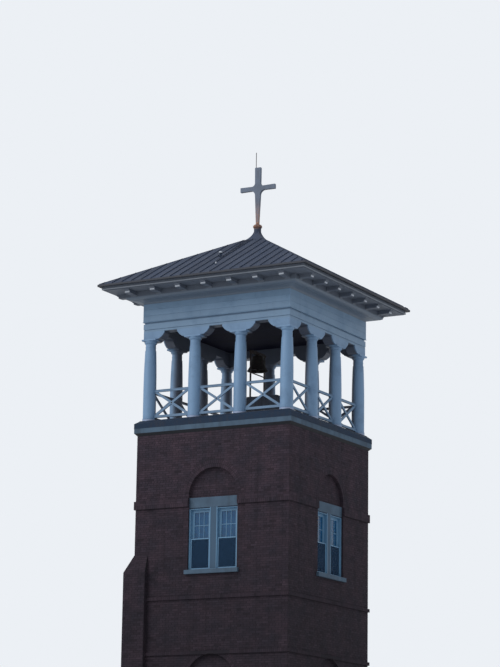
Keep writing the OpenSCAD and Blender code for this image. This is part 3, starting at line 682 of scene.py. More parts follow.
    def piece(self, name: str, finish: Finishes, slot: str, body: str = "tower",
              smooth: bool = False, closed: bool = True) -> None:
        """Makes the scene's object from the pile.

        Args:
            name: Name of the piece.
            finish: Its finish.
            slot: Material slot of the record that it belongs to; not used.
            body: Body that it moves with.
            smooth: Whether gentle edges are shaded smooth.
            closed: Whether its forms are closed, so that their faces can be turned outwards.
        """
        mesh = bpy.data.meshes.new(name)
        mesh.from_pydata(np.concatenate(self.points).tolist(), [], self.faces)
        tone = mesh.attributes.new("tone", "FLOAT", "POINT")
        tone.data.foreach_set("value", np.concatenate(self.tones).astype(np.float32))
        mesh.materials.append(finish.material())
        mesh.validate()
        made = add_object(name, mesh)
        if closed:
            turn_out(mesh)
        if smooth:
            mesh.shade_smooth()
            mesh.set_sharp_from_angle(angle=math.radians(35))
        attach(made, body)
        LOG.info("piece %s: %d faces, %s", name, len(mesh.polygons), finish.value.name)


def turn_out(mesh: bpy.types.Mesh) -> None:
    """Turns the faces of closed forms outwards."""
    work = bmesh.new()
    work.from_mesh(mesh)
    bmesh.ops.recalc_face_normals(work, faces=work.faces)
    work.to_mesh(mesh)
    work.free()


# --- Brick shaft ----------------------------------------------------------------------------


@dataclass(frozen=True)
class Brick:
    """Sizes of the bricks and of their joints."""

    length: float = 0.213
    header: float = 0.1065
    course: float = 0.0677
    joint: float = 0.010
    proud: float = 0.004
    bond: int = 6
    shortest: float = 0.02
    thinnest: float = 0.012


@dataclass
class ShaftPart:
    """A part on the faces of the brick shaft, with the sizes that all such parts share."""

    half: float = 2.65
    sill_levels: tuple[float, float] = (10.30, 4.70)
    window_half: float = 0.848
    window_h: float = 1.86
    window_shift: float = 0.065
    reveal: float = 0.06


@dataclass
class BrickShaft(ShaftPart):
    """The four brick faces, their blind arches and string courses, and the two buttresses."""

    brick: Brick = Brick()
    top: float = 14.487
    sill_h: float = 0.145
    lintel_h: float = 0.305
    stilt: float = 0.05
    arch_depth: float = 0.11
    ring_h: float = 0.105
    string: tuple[float, float] = (12.20, 12.45)
    string_rows: tuple[Flat, ...] = ((0, 0.110), (0.115, 0.0635), (0.1835, 0.0665))
    belts: tuple[float, ...] = (9.40, 7.75, 3.80)
    belt_h: float = 0.10
    belt_out: float = 0.045
    belt_sink: float = 0.02
    upright_h: float = 0.09
    lap: float = 0.002
    door_half: float = 0.6
    door_top: float = 2.45
    door_step: float = 0.15
    soldier_h: float = 0.203
    soldier_reach: float = 0.12
    buttress_x: float = 2.94
    buttress_y: float = 2.805
    buttress_in: float = 2.18
    cap_low: float = 10.28
    cap_top: float = 10.82
    frame_gap: float = 0.002
    lintel_gap: float = 0.012
    tone_spread: float = 0.45
    burnt: float = 0.9
    burnt_share: float = 0.06

    def __post_init__(self) -> None:
        """Starts the seeded choice of brick tones."""
        self.rng = np.random.default_rng(SEED)

    def tone(self) -> float:
        """Gives the tone of one brick; a few are burnt much darker."""
        value = self.rng.normal(0, self.tone_spread)
        burnt = self.burnt if self.rng.random() < self.burnt_share else 0
        return float(np.clip(value - burnt, -1.6, 1.2))

    def face(self, side: Side) -> Plane:
        """Gives the brick face of a side, measured from its middle at ground level."""
        ends = side.turn(np.array([(0, -self.half, 0), (1, -self.half, 0)]))
        return Plane(tuple(ends[0]), tuple(ends[1] - ends[0]))

    def springing(self, row: float) -> float:
        """Gives the height where the blind arch over a window row starts to curve."""
        return row + self.window_h + self.lintel_h + self.stilt

    def arc(self, row: float, radius: float, z: float) -> float:
        """Gives half the width at a height of a circle round the middle of a row's arch."""
        return math.sqrt(max(0.0, radius ** 2 - max(0.0, z - self.springing(row)) ** 2))

    def lay(self, pile: Pile, plane: Plane, z0: float, z1: float, levels: Sequence[float],
            spans: Callable[[float, float], list[Span]], proud: float | None = None) -> None:
        """Lays courses in bond over a plane.

        Args:
            pile: The pile that gets the bricks.
            plane: Where they lie.
            z0: Height to start at.
            z1: Height to end at.
            levels: Heights at which a course is cut through.
            spans: Gives, for the foot and the head of a course, the stretches to fill, each as
                left end at the foot and head and right end at the foot and head.
            proud: How far the bricks stand out, when not as usual.
        """
        brick = self.brick
        quads, tones = [], []
        for k in range(math.floor(z0 / brick.course), math.ceil(z1 / brick.course)):
            low, high = k * brick.course, (k + 1) * brick.course - brick.joint
            stops = [max(low, z0), *[v for v in levels if low < v < high], min(high, z1)]
            header = k % brick.bond == 0
            size = brick.header if header else brick.length
            shift = 0.5 * size if k % 2 else (0.25 * size if header else 0)
            for foot, head in zip(stops, stops[1:]):
                if head - foot < brick.thinnest:
                    continue
                for l0, l1, r0, r1 in spans(foot, head):
                    first = math.floor((min(l0, l1) - shift) / size)
                    for i in range(first, math.ceil((max(r0, r1) - shift) / size)):
                        left = shift + i * size
                        right = left + size - brick.joint
                        a0, a1 = max(left, l0), max(left, l1)
                        b0, b1 = min(right, r0), min(right, r1)
                        if ((b0 - a0) + (b1 - a1) < 2 * brick.shortest
                                or min(b0 - a0, b1 - a1) < -brick.shortest):
                            continue
                        quads.append([(a0, foot), (max(b0, a0 + 0.001), foot),
                                      (max(b1, a1 + 0.001), head), (a1, head)])
                        tones.append(self.tone())
        pile.bricks(plane, quads, tones, brick.proud if proud is None else proud)

    def wall_spans(self, side: Side) -> Callable[[float, float], list[Span]]:
        """Gives the rule for where a side has bricks between two heights."""
        edge = self.half + (self.brick.proud if side in (Side.FRONT, Side.BACK) else 0)
        hidden = {Side.FRONT: (True, False), Side.BACK: (False, True),
                  Side.LEFT: (True, True), Side.RIGHT: (False, False)}[side]
        outer = self.window_half + 2 * self.ring_h + self.brick.joint
        door_head = self.door_top + self.soldier_h + self.brick.joint

        def spans(foot: float, head: float) -> list[Span]:
            """Gives the stretches of brick between foot and head."""
            middle = (foot + head) / 2
            left, right = [self.buttress_in if h and middle < self.cap_low else edge
                           for h in hidden]
            gap, centre = None, self.window_shift
            for row in self.sill_levels:
                rise = self.springing(row)
                if row - self.sill_h < middle < rise:
                    gap = (self.window_half, self.window_half)
                elif rise < middle < rise + outer:
                    gap = [self.arc(row, outer, z) for z in (foot, head)]
            if side is Side.FRONT and self.door_step < middle < door_head:
                wide = self.door_half + (self.soldier_reach if middle > self.door_top else 0)
                gap, centre = (wide, wide), 0.0
            if gap is None:
                return [(-left, -left, right, right)]
            return [(-left, -left, centre - gap[0], centre - gap[1]),
                    (centre + gap[0], centre + gap[1], right, right)]
        return spans

    def arch(self, pile: Pile, side: Side, row: float) -> None:
        """Lays two rings of bricks on edge round a blind arch, and the bricks inside it."""
        plane, rise, shift = self.face(side), self.springing(row), self.window_shift
        joint = self.brick.joint
        for inner, start, sink in ((self.window_half, -0.003, self.arch_depth - 0.002),
                                   (self.window_half + self.ring_h + joint, 0, 0)):
            r0, r1 = inner + start, inner + self.ring_h
            count = round(math.pi * (r0 + r1) / 2 / self.brick.course)
            quads, tones = [], []
            for i in range(count):
                a0 = math.pi * i / count + joint / 2 / r1
                a1 = math.pi * (i + 1) / count - joint / 2 / r1
                quads.append([(shift + r * math.cos(a), rise + r * math.sin(a))
                              for r, a in ((r0, a0), (r1, a0), (r1, a1), (r0, a1))])
                tones.append(self.tone())
            pile.bricks(plane, quads, tones, self.brick.proud, sink=sink)

        def inside(foot: float, head: float) -> list[Span]:
            """Gives the width between the arch's sides."""
            low, high = [self.arc(row, self.window_half, z) for z in (foot, head)]
            return [(shift - low, shift - high, shift + low, shift + high)]

        back = Plane(tuple(plane.at(np.zeros((1, 2)), -self.arch_depth)[0]), plane.along)
        self.lay(pile, back, row + self.window_h + self.lintel_h, rise + self.window_half,
                 [rise], inside)

    def jambs(self, pile: Pile, side: Side, half: float, centre: float, depth: float,
              z0: float, z1: float) -> None:
        """Lines the two sides of an opening with the ends of its bricks."""
        face = self.face(side)
        inward = -np.cross(np.array(face.along), (0, 0, 1))
        for sign in (-1, 1):
            corner = face.at(np.array([[centre + sign * half, 0.0]]), 0)[0]
            plane = Plane(tuple(corner if sign < 0 else corner + inward * depth),
                          tuple(-sign * inward))
            self.lay(pile, plane, z0, z1, [], lambda foot, head: [(0, 0, depth, depth)], 0.003)

    def soldiers(self, pile: Pile) -> None:
        """Lays the upright bricks over the door."""
        half, low = self.door_half + self.soldier_reach, self.door_top
        high = low + self.soldier_h
        ends = strips(-half, half, round(2 * half / self.brick.course), self.brick.joint)
        pile.bricks(self.face(Side.FRONT), [[(a, low), (b, low), (b, high), (a, high)]
                                            for a, b in ends],
                    [self.tone() for _ in ends], self.brick.proud)

    def stretches(self, z: float) -> list[Flat]:
        """Gives where a course of the bands runs at a height, clear of windows and arches."""
        far = 2 * self.half
        for row in self.sill_levels:
            rise = self.springing(row)
            if row - self.sill_h < z < rise + self.window_half:
                radius = self.window_half + (2 * self.ring_h + self.brick.joint if z > rise else 0)
                gap = self.arc(row, radius, z) - self.lap
                return [(-far, self.window_shift - gap), (self.window_shift + gap, far)]
        return [(-far, far)]

    def bands(self, side: Side) -> Pile:
        """Lays bricks over the string course and the thin courses, with their ends."""
        pile, edge = Pile(), self.half + self.belt_out
        over = self.brick.proud if side in (Side.FRONT, Side.BACK) else 0.0
        rows = [(self.string[0] + z, height) for z, height in self.string_rows]
        for z, height in rows + [(z, self.belt_h) for z in self.belts]:
            size = self.brick.course if height > self.upright_h else self.brick.length
            count = round(2 * edge / size)
            for i, (start, end) in enumerate(strips(-edge, edge, count, self.brick.joint)):
                tone = self.tone()
                start -= over if i == 0 else 0
                end += over if i == count - 1 else 0
                for low, high in self.stretches(z):
                    a, b = max(start, low), min(end, high)
                    if b - a > self.brick.joint:
                        pile.box((a, -edge - self.brick.proud, z + 0.001),
                                 (b, -self.half + self.belt_sink, z + height + 0.002),
                                 side, 0.002, tone)
        return pile

    def buttresses(self) -> Pile:
        """Lays the bricks of the two left buttresses and of their sloping caps."""
        pile, x, y, inner, low = (Pile(), self.buttress_x, self.buttress_y, self.buttress_in,
                                  self.cap_low)
        rise = self.cap_top - low
        wide_x, wide_y, out_x, out_y = x - inner, y - inner, x - self.half, y - self.half
        for corner, along, wide in (((-x, -y, 0), (1, 0, 0), wide_x),
                                    ((-x, -inner, 0), (0, -1, 0), wide_y),
                                    ((-inner, -y, 0), (0, 1, 0), out_y),
                                    ((-self.half, -inner, 0), (-1, 0, 0), out_x)):
            self.lay(pile, Plane(corner, along), 0, low, [],
                     lambda foot, head, w=wide: [(0, 0, w, w)])
        for corner, along, run, other, width in (
                ((-x, -y, low), (1, 0, 0), out_y, out_x, wide_x),
                ((-x, -inner, low), (0, -1, 0), out_x, out_y, wide_y)):
            slope = math.hypot(run, rise)
            up = (0, run / slope, rise / slope) if along[0] else (run / slope, 0, rise / slope)

            def tapered(foot: float, head: float) -> list[Span]:
                """Gives the width of the cap, which narrows at its hip."""
                a, b = other * foot / slope, other * head / slope
                return [(a, b, width, width) if along[0] else (0, 0, width - a, width - b)]
            self.lay(pile, Plane(corner, along, up), 0, slope, [], tapered)
        pile.mirrored()
        return pile

    def build(self) -> None:
        """Builds the brick pieces and dresses the walls behind them as mortar."""
        dress_sides(Finishes.MORTAR, "wall")
        dress_nodes(Finishes.MORTAR, "front_left_buttress", "back_left_buttress")
        cuts = [self.cap_low, *self.string, self.door_step, self.door_top]
        cuts += [z + h for z in self.belts for h in (0, self.belt_h)]
        cuts += [z for row in self.sill_levels for z in (row - self.sill_h, self.springing(row))]
        for side in Side:
            pile, name = Pile(), side.name.lower()
            self.lay(pile, self.face(side), 0, self.top, sorted(cuts), self.wall_spans(side))
            for row in self.sill_levels:
                self.arch(pile, side, row)
                head = row + self.window_h
                for depth, z0, z1 in (
                        (self.reveal - self.frame_gap, row, head),
                        (self.reveal - self.lintel_gap, head, head + self.lintel_h),
                        (self.arch_depth, head + self.lintel_h, self.springing(row))):
                    self.jambs(pile, side, self.window_half, self.window_shift, depth, z0, z1)
            if side is Side.FRONT:
                self.jambs(pile, side, self.door_half, 0, self.reveal - self.frame_gap,
                           self.door_step, self.door_top)
                self.soldiers(pile)
            pile.piece(f"{name}_bricks", Finishes.BRICK, "brick", closed=False)
            self.bands(side).piece(f"{name}_string_bricks", Finishes.BRICK, "brick")
        self.buttresses().piece("buttress_bricks", Finishes.BRICK, "brick", closed=False)


# --- Windows, door and stone ----------------------------------------------------------------


@dataclass
class Windows(ShaftPart):
    """Paired sash windows: bars in the upper sashes and a screen before each lower sash."""

    sash_x: float = 0.4665
    sash_w: float = 0.663
    stile: float = 0.086
    glass_low: float = 0.930
    glass_high: float = 1.724
    sash_front: float = 0.155
    sash_step: float = 0.0423
    lift_x: float = 0.14
    lift_z: float = 0.035
    catch_z: float = 0.928
    bar_w: float = 0.022
    bar_d: float = 0.036
    screen_front: float = 0.085
    screen_h: float = 0.93
    screen_bar: float = 0.034
    board_w: float = 0.20
    bead_w: float = 0.024
    shadow_strip_h: float = 0.03

    def bars(self, pile: Pile, side: Side, x: float, row: float) -> None:
        """Adds the bars that part an upper sash into three by two lights."""
        y0 = -self.half + self.sash_front + 0.003
        y1 = y0 + self.bar_d
        light, w = self.sash_w / 2 - self.stile, self.bar_w / 2
        for middle in (x - light / 3, x + light / 3):
            pile.box((middle - w, y0, row + self.glass_low - SINK),
                     (middle + w, y1, row + self.glass_high + SINK), side, 0.005)
        level = row + (self.glass_low + self.glass_high) / 2
        pile.box((x - light - SINK, y0 + 0.001, level - w),
                 (x + light + SINK, y1 - 0.001, level + w), side, 0.005)

    def screen(self, frames: Pile, wires: Pile, side: Side, x: float, row: float) -> None:
        """Adds the frame of a half screen and its woven wire."""
        y0 = -self.half + self.screen_front
        reach, bar, top = self.sash_w / 2 - 0.002, self.screen_bar, self.screen_h
        inner = reach - bar
        for x0, x1, z0, z1 in ((-reach, -inner, 0, top), (inner, reach, 0, top),
                               (-inner, inner, 0, bar), (-inner, inner, top - bar, top)):
            frames.box((x + x0, y0, row + z0 + 0.002), (x + x1, y0 + 0.02, row + z1), side, 0.003)
        wires.box((x - inner - SINK, y0 + 0.009, row + bar - SINK),
                  (x + inner + SINK, y0 + 0.011, row + top - bar + SINK), side)

    def mullion(self, boards: Pile, beads: Pile, drips: Pile, side: Side, row: float) -> None:
        """Adds the post's board between sashes, its beads, and strips of painted shadow over them.
        """
        y, low, high = -self.half + self.reveal, row + 0.012, row + self.window_h - 0.001
        centre, half, bead = self.window_shift, self.board_w / 2, self.bead_w / 2
        boards.box((centre - half, y - 0.006, low), (centre + half, y + SINK, high), side, 0.002)
        for x in (centre - half - bead - 0.002, centre + half + bead + 0.002):
            beads.box((x - bead, y - bead, low), (x + bead, y + SINK, high), side, 0.005)
        # The strips at the head of each light are dark to paint the shadow under the lintel.
        post, far = half + self.bead_w + 0.002, self.window_half - 0.002
        for start, end in ((-far, -post), (post, far)):
            drips.box((centre + start, y - 0.007, high - self.shadow_strip_h),
                      (centre + end, y + SINK, high), side, 0.002)

    def fittings(self, pile: Pile, side: Side, x: float, row: float) -> None:
        """Adds the two lift handles and the fastener of a pair of sashes."""
        y, z = -self.half + self.sash_front + self.sash_step, row + self.lift_z
        for lift in (x - self.lift_x, x + self.lift_x):
            pile.box((lift - 0.03, y - 0.022, z), (lift + 0.03, y + 0.002, z + 0.017), side, 0.004)
        z = row + self.catch_z
        pile.box((x - 0.035, y - 0.012, z), (x + 0.035, y + 0.02, z + 0.016), side, 0.004)

    def build(self) -> None:
        """Builds the bars, screens and fittings, and dresses the window nodes."""
        boards, beads, drips, bars, frames, wires, fittings = (Pile() for _ in range(7))
        for side in Side:
            for row in self.sill_levels:
                self.mullion(boards, beads, drips, side, row)
                for x in (self.window_shift - self.sash_x, self.window_shift + self.sash_x):
                    self.bars(bars, side, x, row)
                    self.screen(frames, wires, side, x, row)
                    self.fittings(fittings, side, x, row)
        for pile, name, finish, slot in (
                (boards, "mullion_boards", Finishes.POST, "white_paint"),
                (beads, "mullion_beads", Finishes.SASH, "white_paint"),
                # Dark strips that paint the shadow under each lintel.
                (drips, "lintel_shadow_strips", Finishes.LEAD, "roof_metal"),
                (bars, "sash_bars", Finishes.SASH, "white_paint"),
                (frames, "screen_frames", Finishes.SASH, "white_paint"),
                (wires, "screen_wire", Finishes.SCREEN, "iron"),
                (fittings, "sash_fittings", Finishes.IRON, "iron")):
            pile.piece(name, finish, slot)
        dress_nodes(Finishes.SASH, "window_frames", "window_sashes")
        dress_nodes(Finishes.GLASS, "window_glass")


@dataclass
class Doorway:
    """Plank door with strap hinges and a ring handle."""

    planks: int = 6
    gap: float = 0.004
    lift: float = 0.010
    strap_levels: tuple[float, float] = (0.55, 1.95)
    strap_half: float = 0.028
    nails: int = 4
    nail_pitch: float = 0.2
    handle_z: float = 1.05
    ring_r: float = 0.05
    wire_r: float = 0.006

    def build(self) -> None:
        """Builds the planks and the ironwork on the CAD door."""
        low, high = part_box("door")
        boards, iron = Pile(), Pile()
        rng = np.random.default_rng(SEED + 1)
        front = low.y - self.lift
        for x0, x1 in strips(low.x, high.x, self.planks, self.gap):
            boards.box((x0, front, low.z + 0.012), (x1, low.y + SINK, high.z - 0.006),
                       chamfer=0.004, tone=float(rng.normal(0, 0.5)))
        for level in self.strap_levels:
            z = low.z + level
            iron.box((low.x + 0.01, front - 0.008, z - self.strap_half),
                     (high.x - 0.22, front + 0.002, z + self.strap_half), chamfer=0.003)
            iron.lathe((low.x - 0.004, front - 0.004, z - 0.05), (0, 0, 1),
                       [(0.010, 0), (0.014, 0.004), (0.014, 0.096), (0.010, 0.10)], 16)
            for i in range(self.nails):
                iron.lathe((low.x + 0.09 + self.nail_pitch * i, front - 0.008, z), (0, -1, 0),
                           [(0.013, 0), (0.011, 0.005), (0.004, 0.009)], 12)
        x, z, ring_y = high.x - 0.10, low.z + self.handle_z, front - 4 * self.wire_r
        iron.lathe((x, front, z), (0, -1, 0), [(0.05, 0), (0.05, 0.004), (0.02, 0.010),
                                               (0.016, 0.03), (0.010, 0.034)], 24)
        ring = [(x + self.ring_r * math.sin(t), ring_y, z - self.ring_r + self.ring_r * math.cos(t))
                for t in np.linspace(0, 2 * math.pi, 17)]
        wire = [(self.wire_r * math.cos(t), self.wire_r * math.sin(t))
                for t in np.arange(8) * math.pi / 4]
        for ends in zip(ring, ring[1:]):
            iron.bar(ends, wire, (0, -1, 0))
        boards.piece("door_planks", Finishes.DOOR, "dark_timber")
        iron.piece("door_ironwork", Finishes.IRON, "iron")
        dress_nodes(Finishes.DOOR, "door")
        dress_nodes(Finishes.SASH, "door_frame")


@dataclass
class StoneTrim(ShaftPart):
    """Coping, sills and lintels, with the joints between the coping stones."""

    coping_half: float = 2.73
    deck_half: float = 2.616
    coping_low: float = 14.487
    coping_top: float = 14.862
    coping_fall: float = 0.084
    flashing_low: float = 14.722
    stones: int = 5
    joint: float = 0.005
    joint_lift: float = 0.0008

    def flashing(self) -> Pile:
        """Adds the sheet metal over the sloping top of the coping, turned down over its face."""
        pile, out, low, top = Pile(), self.coping_half, self.flashing_low, self.coping_top
        inner, back = self.deck_half + 0.001, top + self.coping_fall
        pile.ring([(out - 0.002, low), (out + 0.006, low - 0.004), (out + 0.008, low),
                   (out + 0.004, low + 0.010), (out + 0.004, top + 0.004), (inner, back + 0.004),
                   (inner, back - 0.004), (out - 0.002, top - 0.004)])
        return pile

    def joints(self) -> Pile:
        """Adds the mortar in the joints of the coping, a hair proud of the stone."""
        pile, inner, out = Pile(), self.half + self.joint_lift, self.coping_half + self.joint_lift
        low = self.coping_low - self.joint_lift
        outline = [(inner, low), (out, low + self.coping_half - self.half),
                   (out, self.flashing_low), (inner, self.flashing_low)]
        for side in Side:
            for i in range(1, self.stones):
                x = -self.coping_half + 2 * self.coping_half * i / self.stones
                pile.run(side, outline, x - self.joint / 2, x + self.joint / 2, -1.5)
        return pile

    def build(self) -> None:
        """Builds the flashing and the coping joints, and dresses the stone nodes."""
        self.flashing().piece("coping_flashing", Finishes.LEAD, "roof_metal")
        self.joints().piece("coping_joints", Finishes.COPING, "stone_trim")
        dress_sides(Finishes.COPING, "coping")
        dress_nodes(Finishes.STONE, "window_sills", "window_lintels", "ground_floor")


# --- Belfry ---------------------------------------------------------------------------------


@dataclass
class Belfry:
    """Deck, columns, brackets, railings and ceiling of the open belfry."""

    deck_half: float = 2.614
    deck_z: float = 14.96
    deck_board: float = 0.142
    ceiling_z: float = 18.02
    ceiling_half: float = 2.21
    ceiling_board: float = 0.11
    gap: float = 0.005
    line: float = 2.4
    bay: float = 1.6
    bolt_z: float = 0.5505
    brace_half: float = 0.022
    rail_top: float = 0.985
    rail_end: float = 0.185

    def boards(self, z: float, half: float, lift: float, width: float, seed: int) -> Pile:
        """Lays boards over a square floor or ceiling.

        Args:
            z: Height of the face that they lie on.
            half: Half the width of the square.
            lift: How far they stand out of it; below zero they hang under it.
            width: Width of a board.
            seed: Seed of the board tones and of the places of their joints.
        Returns:
            The pile of boards.
        """
        pile, rng = Pile(), np.random.default_rng(seed)
        low, high = sorted((z + lift, z - math.copysign(SINK, lift)))
        for y0, y1 in strips(-half, half, round(2 * half / width), self.gap):
            stops = [-half, rng.uniform(-0.4, 0.4) * half, half]
            for x0, x1 in zip(stops, stops[1:]):
                pile.box((x0 + 0.001, y0, low), (x1 - 0.001, y1, high),
                         chamfer=0.002, tone=float(rng.normal(0, 0.5)))
        return pile

    def bays(self) -> Iterable[tuple[Side, float]]:
        """Gives the side and the middle of every bay between the columns."""
        return [(side, k * self.bay) for side in Side for k in (-1, 0, 1)]

    def bolts(self) -> Pile:
        """Adds a bolt where each pair of railing braces crosses."""
        pile = Pile()
        for side, x in self.bays():
            for sign in (-1, 1):
                foot = (x, -self.line + sign * self.brace_half, self.deck_z + self.bolt_z)
                pile.lathe(foot, (0, sign, 0), [(0.022, 0), (0.022, 0.003), (0.012, 0.004),
                                                (0.010, 0.011)], 12, side)
        return pile

    def caps(self) -> Pile:
        """Adds the sloped cap board on each top rail."""
        pile, top = Pile(), self.deck_z + self.rail_top
        half = self.bay / 2 - self.rail_end
        slope = [(0.046, -0.016), (0.046, -0.004), (0.006, 0.010)]
        outline = [(self.line + out, top + z) for out, z in slope]
        outline += [(self.line - out, top + z) for out, z in reversed(slope)]
        for side, x in self.bays():
            pile.run(side, outline, x - half, x + half)
        return pile

    def build(self) -> None:
        """Builds the boards and small pieces, and dresses the timber nodes."""
        self.boards(self.deck_z, self.deck_half, 0.006, self.deck_board, SEED + 2).piece(
            "deck_boards", Finishes.DECK, "dark_timber")
        # The near-black ceiling boards are painted shade.
        self.boards(self.ceiling_z, self.ceiling_half, -0.008, self.ceiling_board, SEED + 3).piece(
            "ceiling_boards", Finishes.CEILING, "dark_timber")
        self.bolts().piece("brace_bolts", Finishes.IRON, "iron")
        self.caps().piece("rail_caps", Finishes.RAIL, "white_paint")
        dress_nodes(Finishes.TRIM, "corner_columns", "middle_columns")
        dress_sides(Finishes.RAIL, "railing")
        dress_nodes(Finishes.BRACKET, "corner_brackets", "middle_brackets")
        dress_nodes(Finishes.LEAD, "belfry_deck")
        dress_nodes(Finishes.CEILING, "belfry_ceiling")
        dress_nodes(Finishes.FLOOR, "middle_floor", "upper_floor")


@dataclass
class Entablature:
    """Boards of the frieze over the beam, on all four sides."""

    face: float = 2.577
    low: float = 18.092
    high: float = 18.662
    rows: int = 3
    proud: float = 0.007
    gap: float = 0.005

    def build(self) -> None:
        """Builds the frieze boards and dresses the entablature nodes."""
        pile, rng = Pile(), np.random.default_rng(SEED + 4)
        out, back = self.face + self.proud, self.face - SINK
        for z0, z1 in strips(self.low, self.high, self.rows, self.gap):
            profile = [(back, z0), (out - 0.003, z0), (out, z0 + 0.003), (out, z1 - 0.003),
                       (out - 0.003, z1), (back, z1)]
            for side in Side:
                stop = float(rng.uniform(-1.6, 1.6))
                pile.run(side, profile, None, stop - 0.001, float(rng.normal(0, 0.4)))
                pile.run(side, profile, stop + 0.001, None, float(rng.normal(0, 0.4)))
        pile.piece("frieze_boards", Finishes.FRIEZE, "white_paint")
        dress_sides(Finishes.FRIEZE, "entablature")


# --- Eaves and roof -------------------------------------------------------------------------


@dataclass
class Eaves:
    """Soffit boards, the white ends of the soffit brackets and the metal edge of the roof."""

    soffit_z: float = 19.002
    inner: float = 2.995
    outer: float = 3.493
    boards: int = 6
    gap: float = 0.006
    nose_z: float = 18.892
    nose_out: float = 3.395
    nose_half: float = 0.08
    nose_h: float = 0.05
    bed_top: float = 18.842
    board_out: float = 2.982
    bracket_half: float = 0.095
    pitch: float = 0.9
    count: int = 7
    fascia_out: float = 3.535
    fascia_z: float = 19.02
    fillet_h: float = 0.035
    edge_out: float = 3.64
    edge_z: float = 19.125

    def brackets(self) -> list[float]:
        """Gives the middles of one side's soffit brackets."""
        return [(i - (self.count - 1) / 2) * self.pitch for i in range(self.count)]

    def soffit(self) -> Pile:
        """Adds the mitred boards under the eaves."""
        pile, rng, z = Pile(), np.random.default_rng(SEED + 5), self.soffit_z
        for r0, r1 in strips(self.inner, self.outer, self.boards, self.gap):
            pile.ring([(r0, z + 0.003), (r0, z - 0.004), (r0 + 0.003, z - 0.007),
                       (r1 - 0.003, z - 0.007), (r1, z - 0.004), (r1, z + 0.003)],
                      [float(t) for t in rng.normal(0, 0.5, 4)])
        return pile

    def cornice(self) -> Pile:
        """Adds the upright boards that close the gap over the bed moulding between the brackets."""
        pile, out, low, high = Pile(), self.board_out, self.bed_top, self.soffit_z + 0.002
        profile = [(out - 0.014, low - 0.002), (out - 0.003, low - 0.002), (out, low + 0.002),
                   (out, high), (out - 0.014, high)]
        starts = [None] + [x + self.bracket_half for x in self.brackets()]
        ends = [x - self.bracket_half for x in self.brackets()] + [None]
        for side in Side:
            for start, end in zip(starts, ends):
                pile.run(side, profile, start, end)
        return pile

    def noses(self) -> Pile:
        """Adds the painted cover at the outer end of every soffit bracket."""
        pile, out, low, high = Pile(), self.nose_out, self.nose_z, self.nose_z + self.nose_h
        profile = [(out - 0.016, low), (out - 0.004, low), (out, low + 0.006),
                   (out + 0.002, (low + high) / 2), (out, high - 0.002), (out - 0.016, high)]
        for side in Side:
            for x in self.brackets():
                pile.run(side, profile, x - self.nose_half, x + self.nose_half)
        return pile

    def build(self) -> None:
        """Builds the eave pieces and dresses the eave nodes."""
        # The soffit, cornice boards, fascia and brackets take the darker eave paint: painted shade.
        self.soffit().piece("soffit_boards", Finishes.EAVE, "white_paint")
        self.cornice().piece("cornice_boards", Finishes.EAVE, "white_paint")
        self.noses().piece("soffit_bracket_ends", Finishes.NOSE, "white_paint")
        fillet, out, z = Pile(), self.fascia_out, self.fascia_z
        top = z + self.fillet_h
        fillet.ring([(out - 0.003, z - 0.003), (out + 0.002, z - 0.003), (out + 0.004, z),
                     (out + 0.004, top - 0.004), (out, top + 0.003), (out - 0.003, top + 0.003)])
        fillet.piece("fascia_fillet", Finishes.FILLET, "white_paint")
        edge, out, z = Pile(), self.edge_out, self.edge_z
        edge.ring([(out - 0.085, z + 0.002), (out - 0.085, z - 0.003), (out - 0.014, z - 0.003),
                   (out - 0.012, z - 0.016), (out - 0.006, z - 0.016), (out - 0.003, z - 0.010),
                   (out - 0.001, z + 0.002)])
        edge.piece("drip_edge", Finishes.EDGE, "roof_metal")
        dress_sides(Finishes.EAVE, "eave")
        dress_nodes(Finishes.EAVE, "eave_brackets")


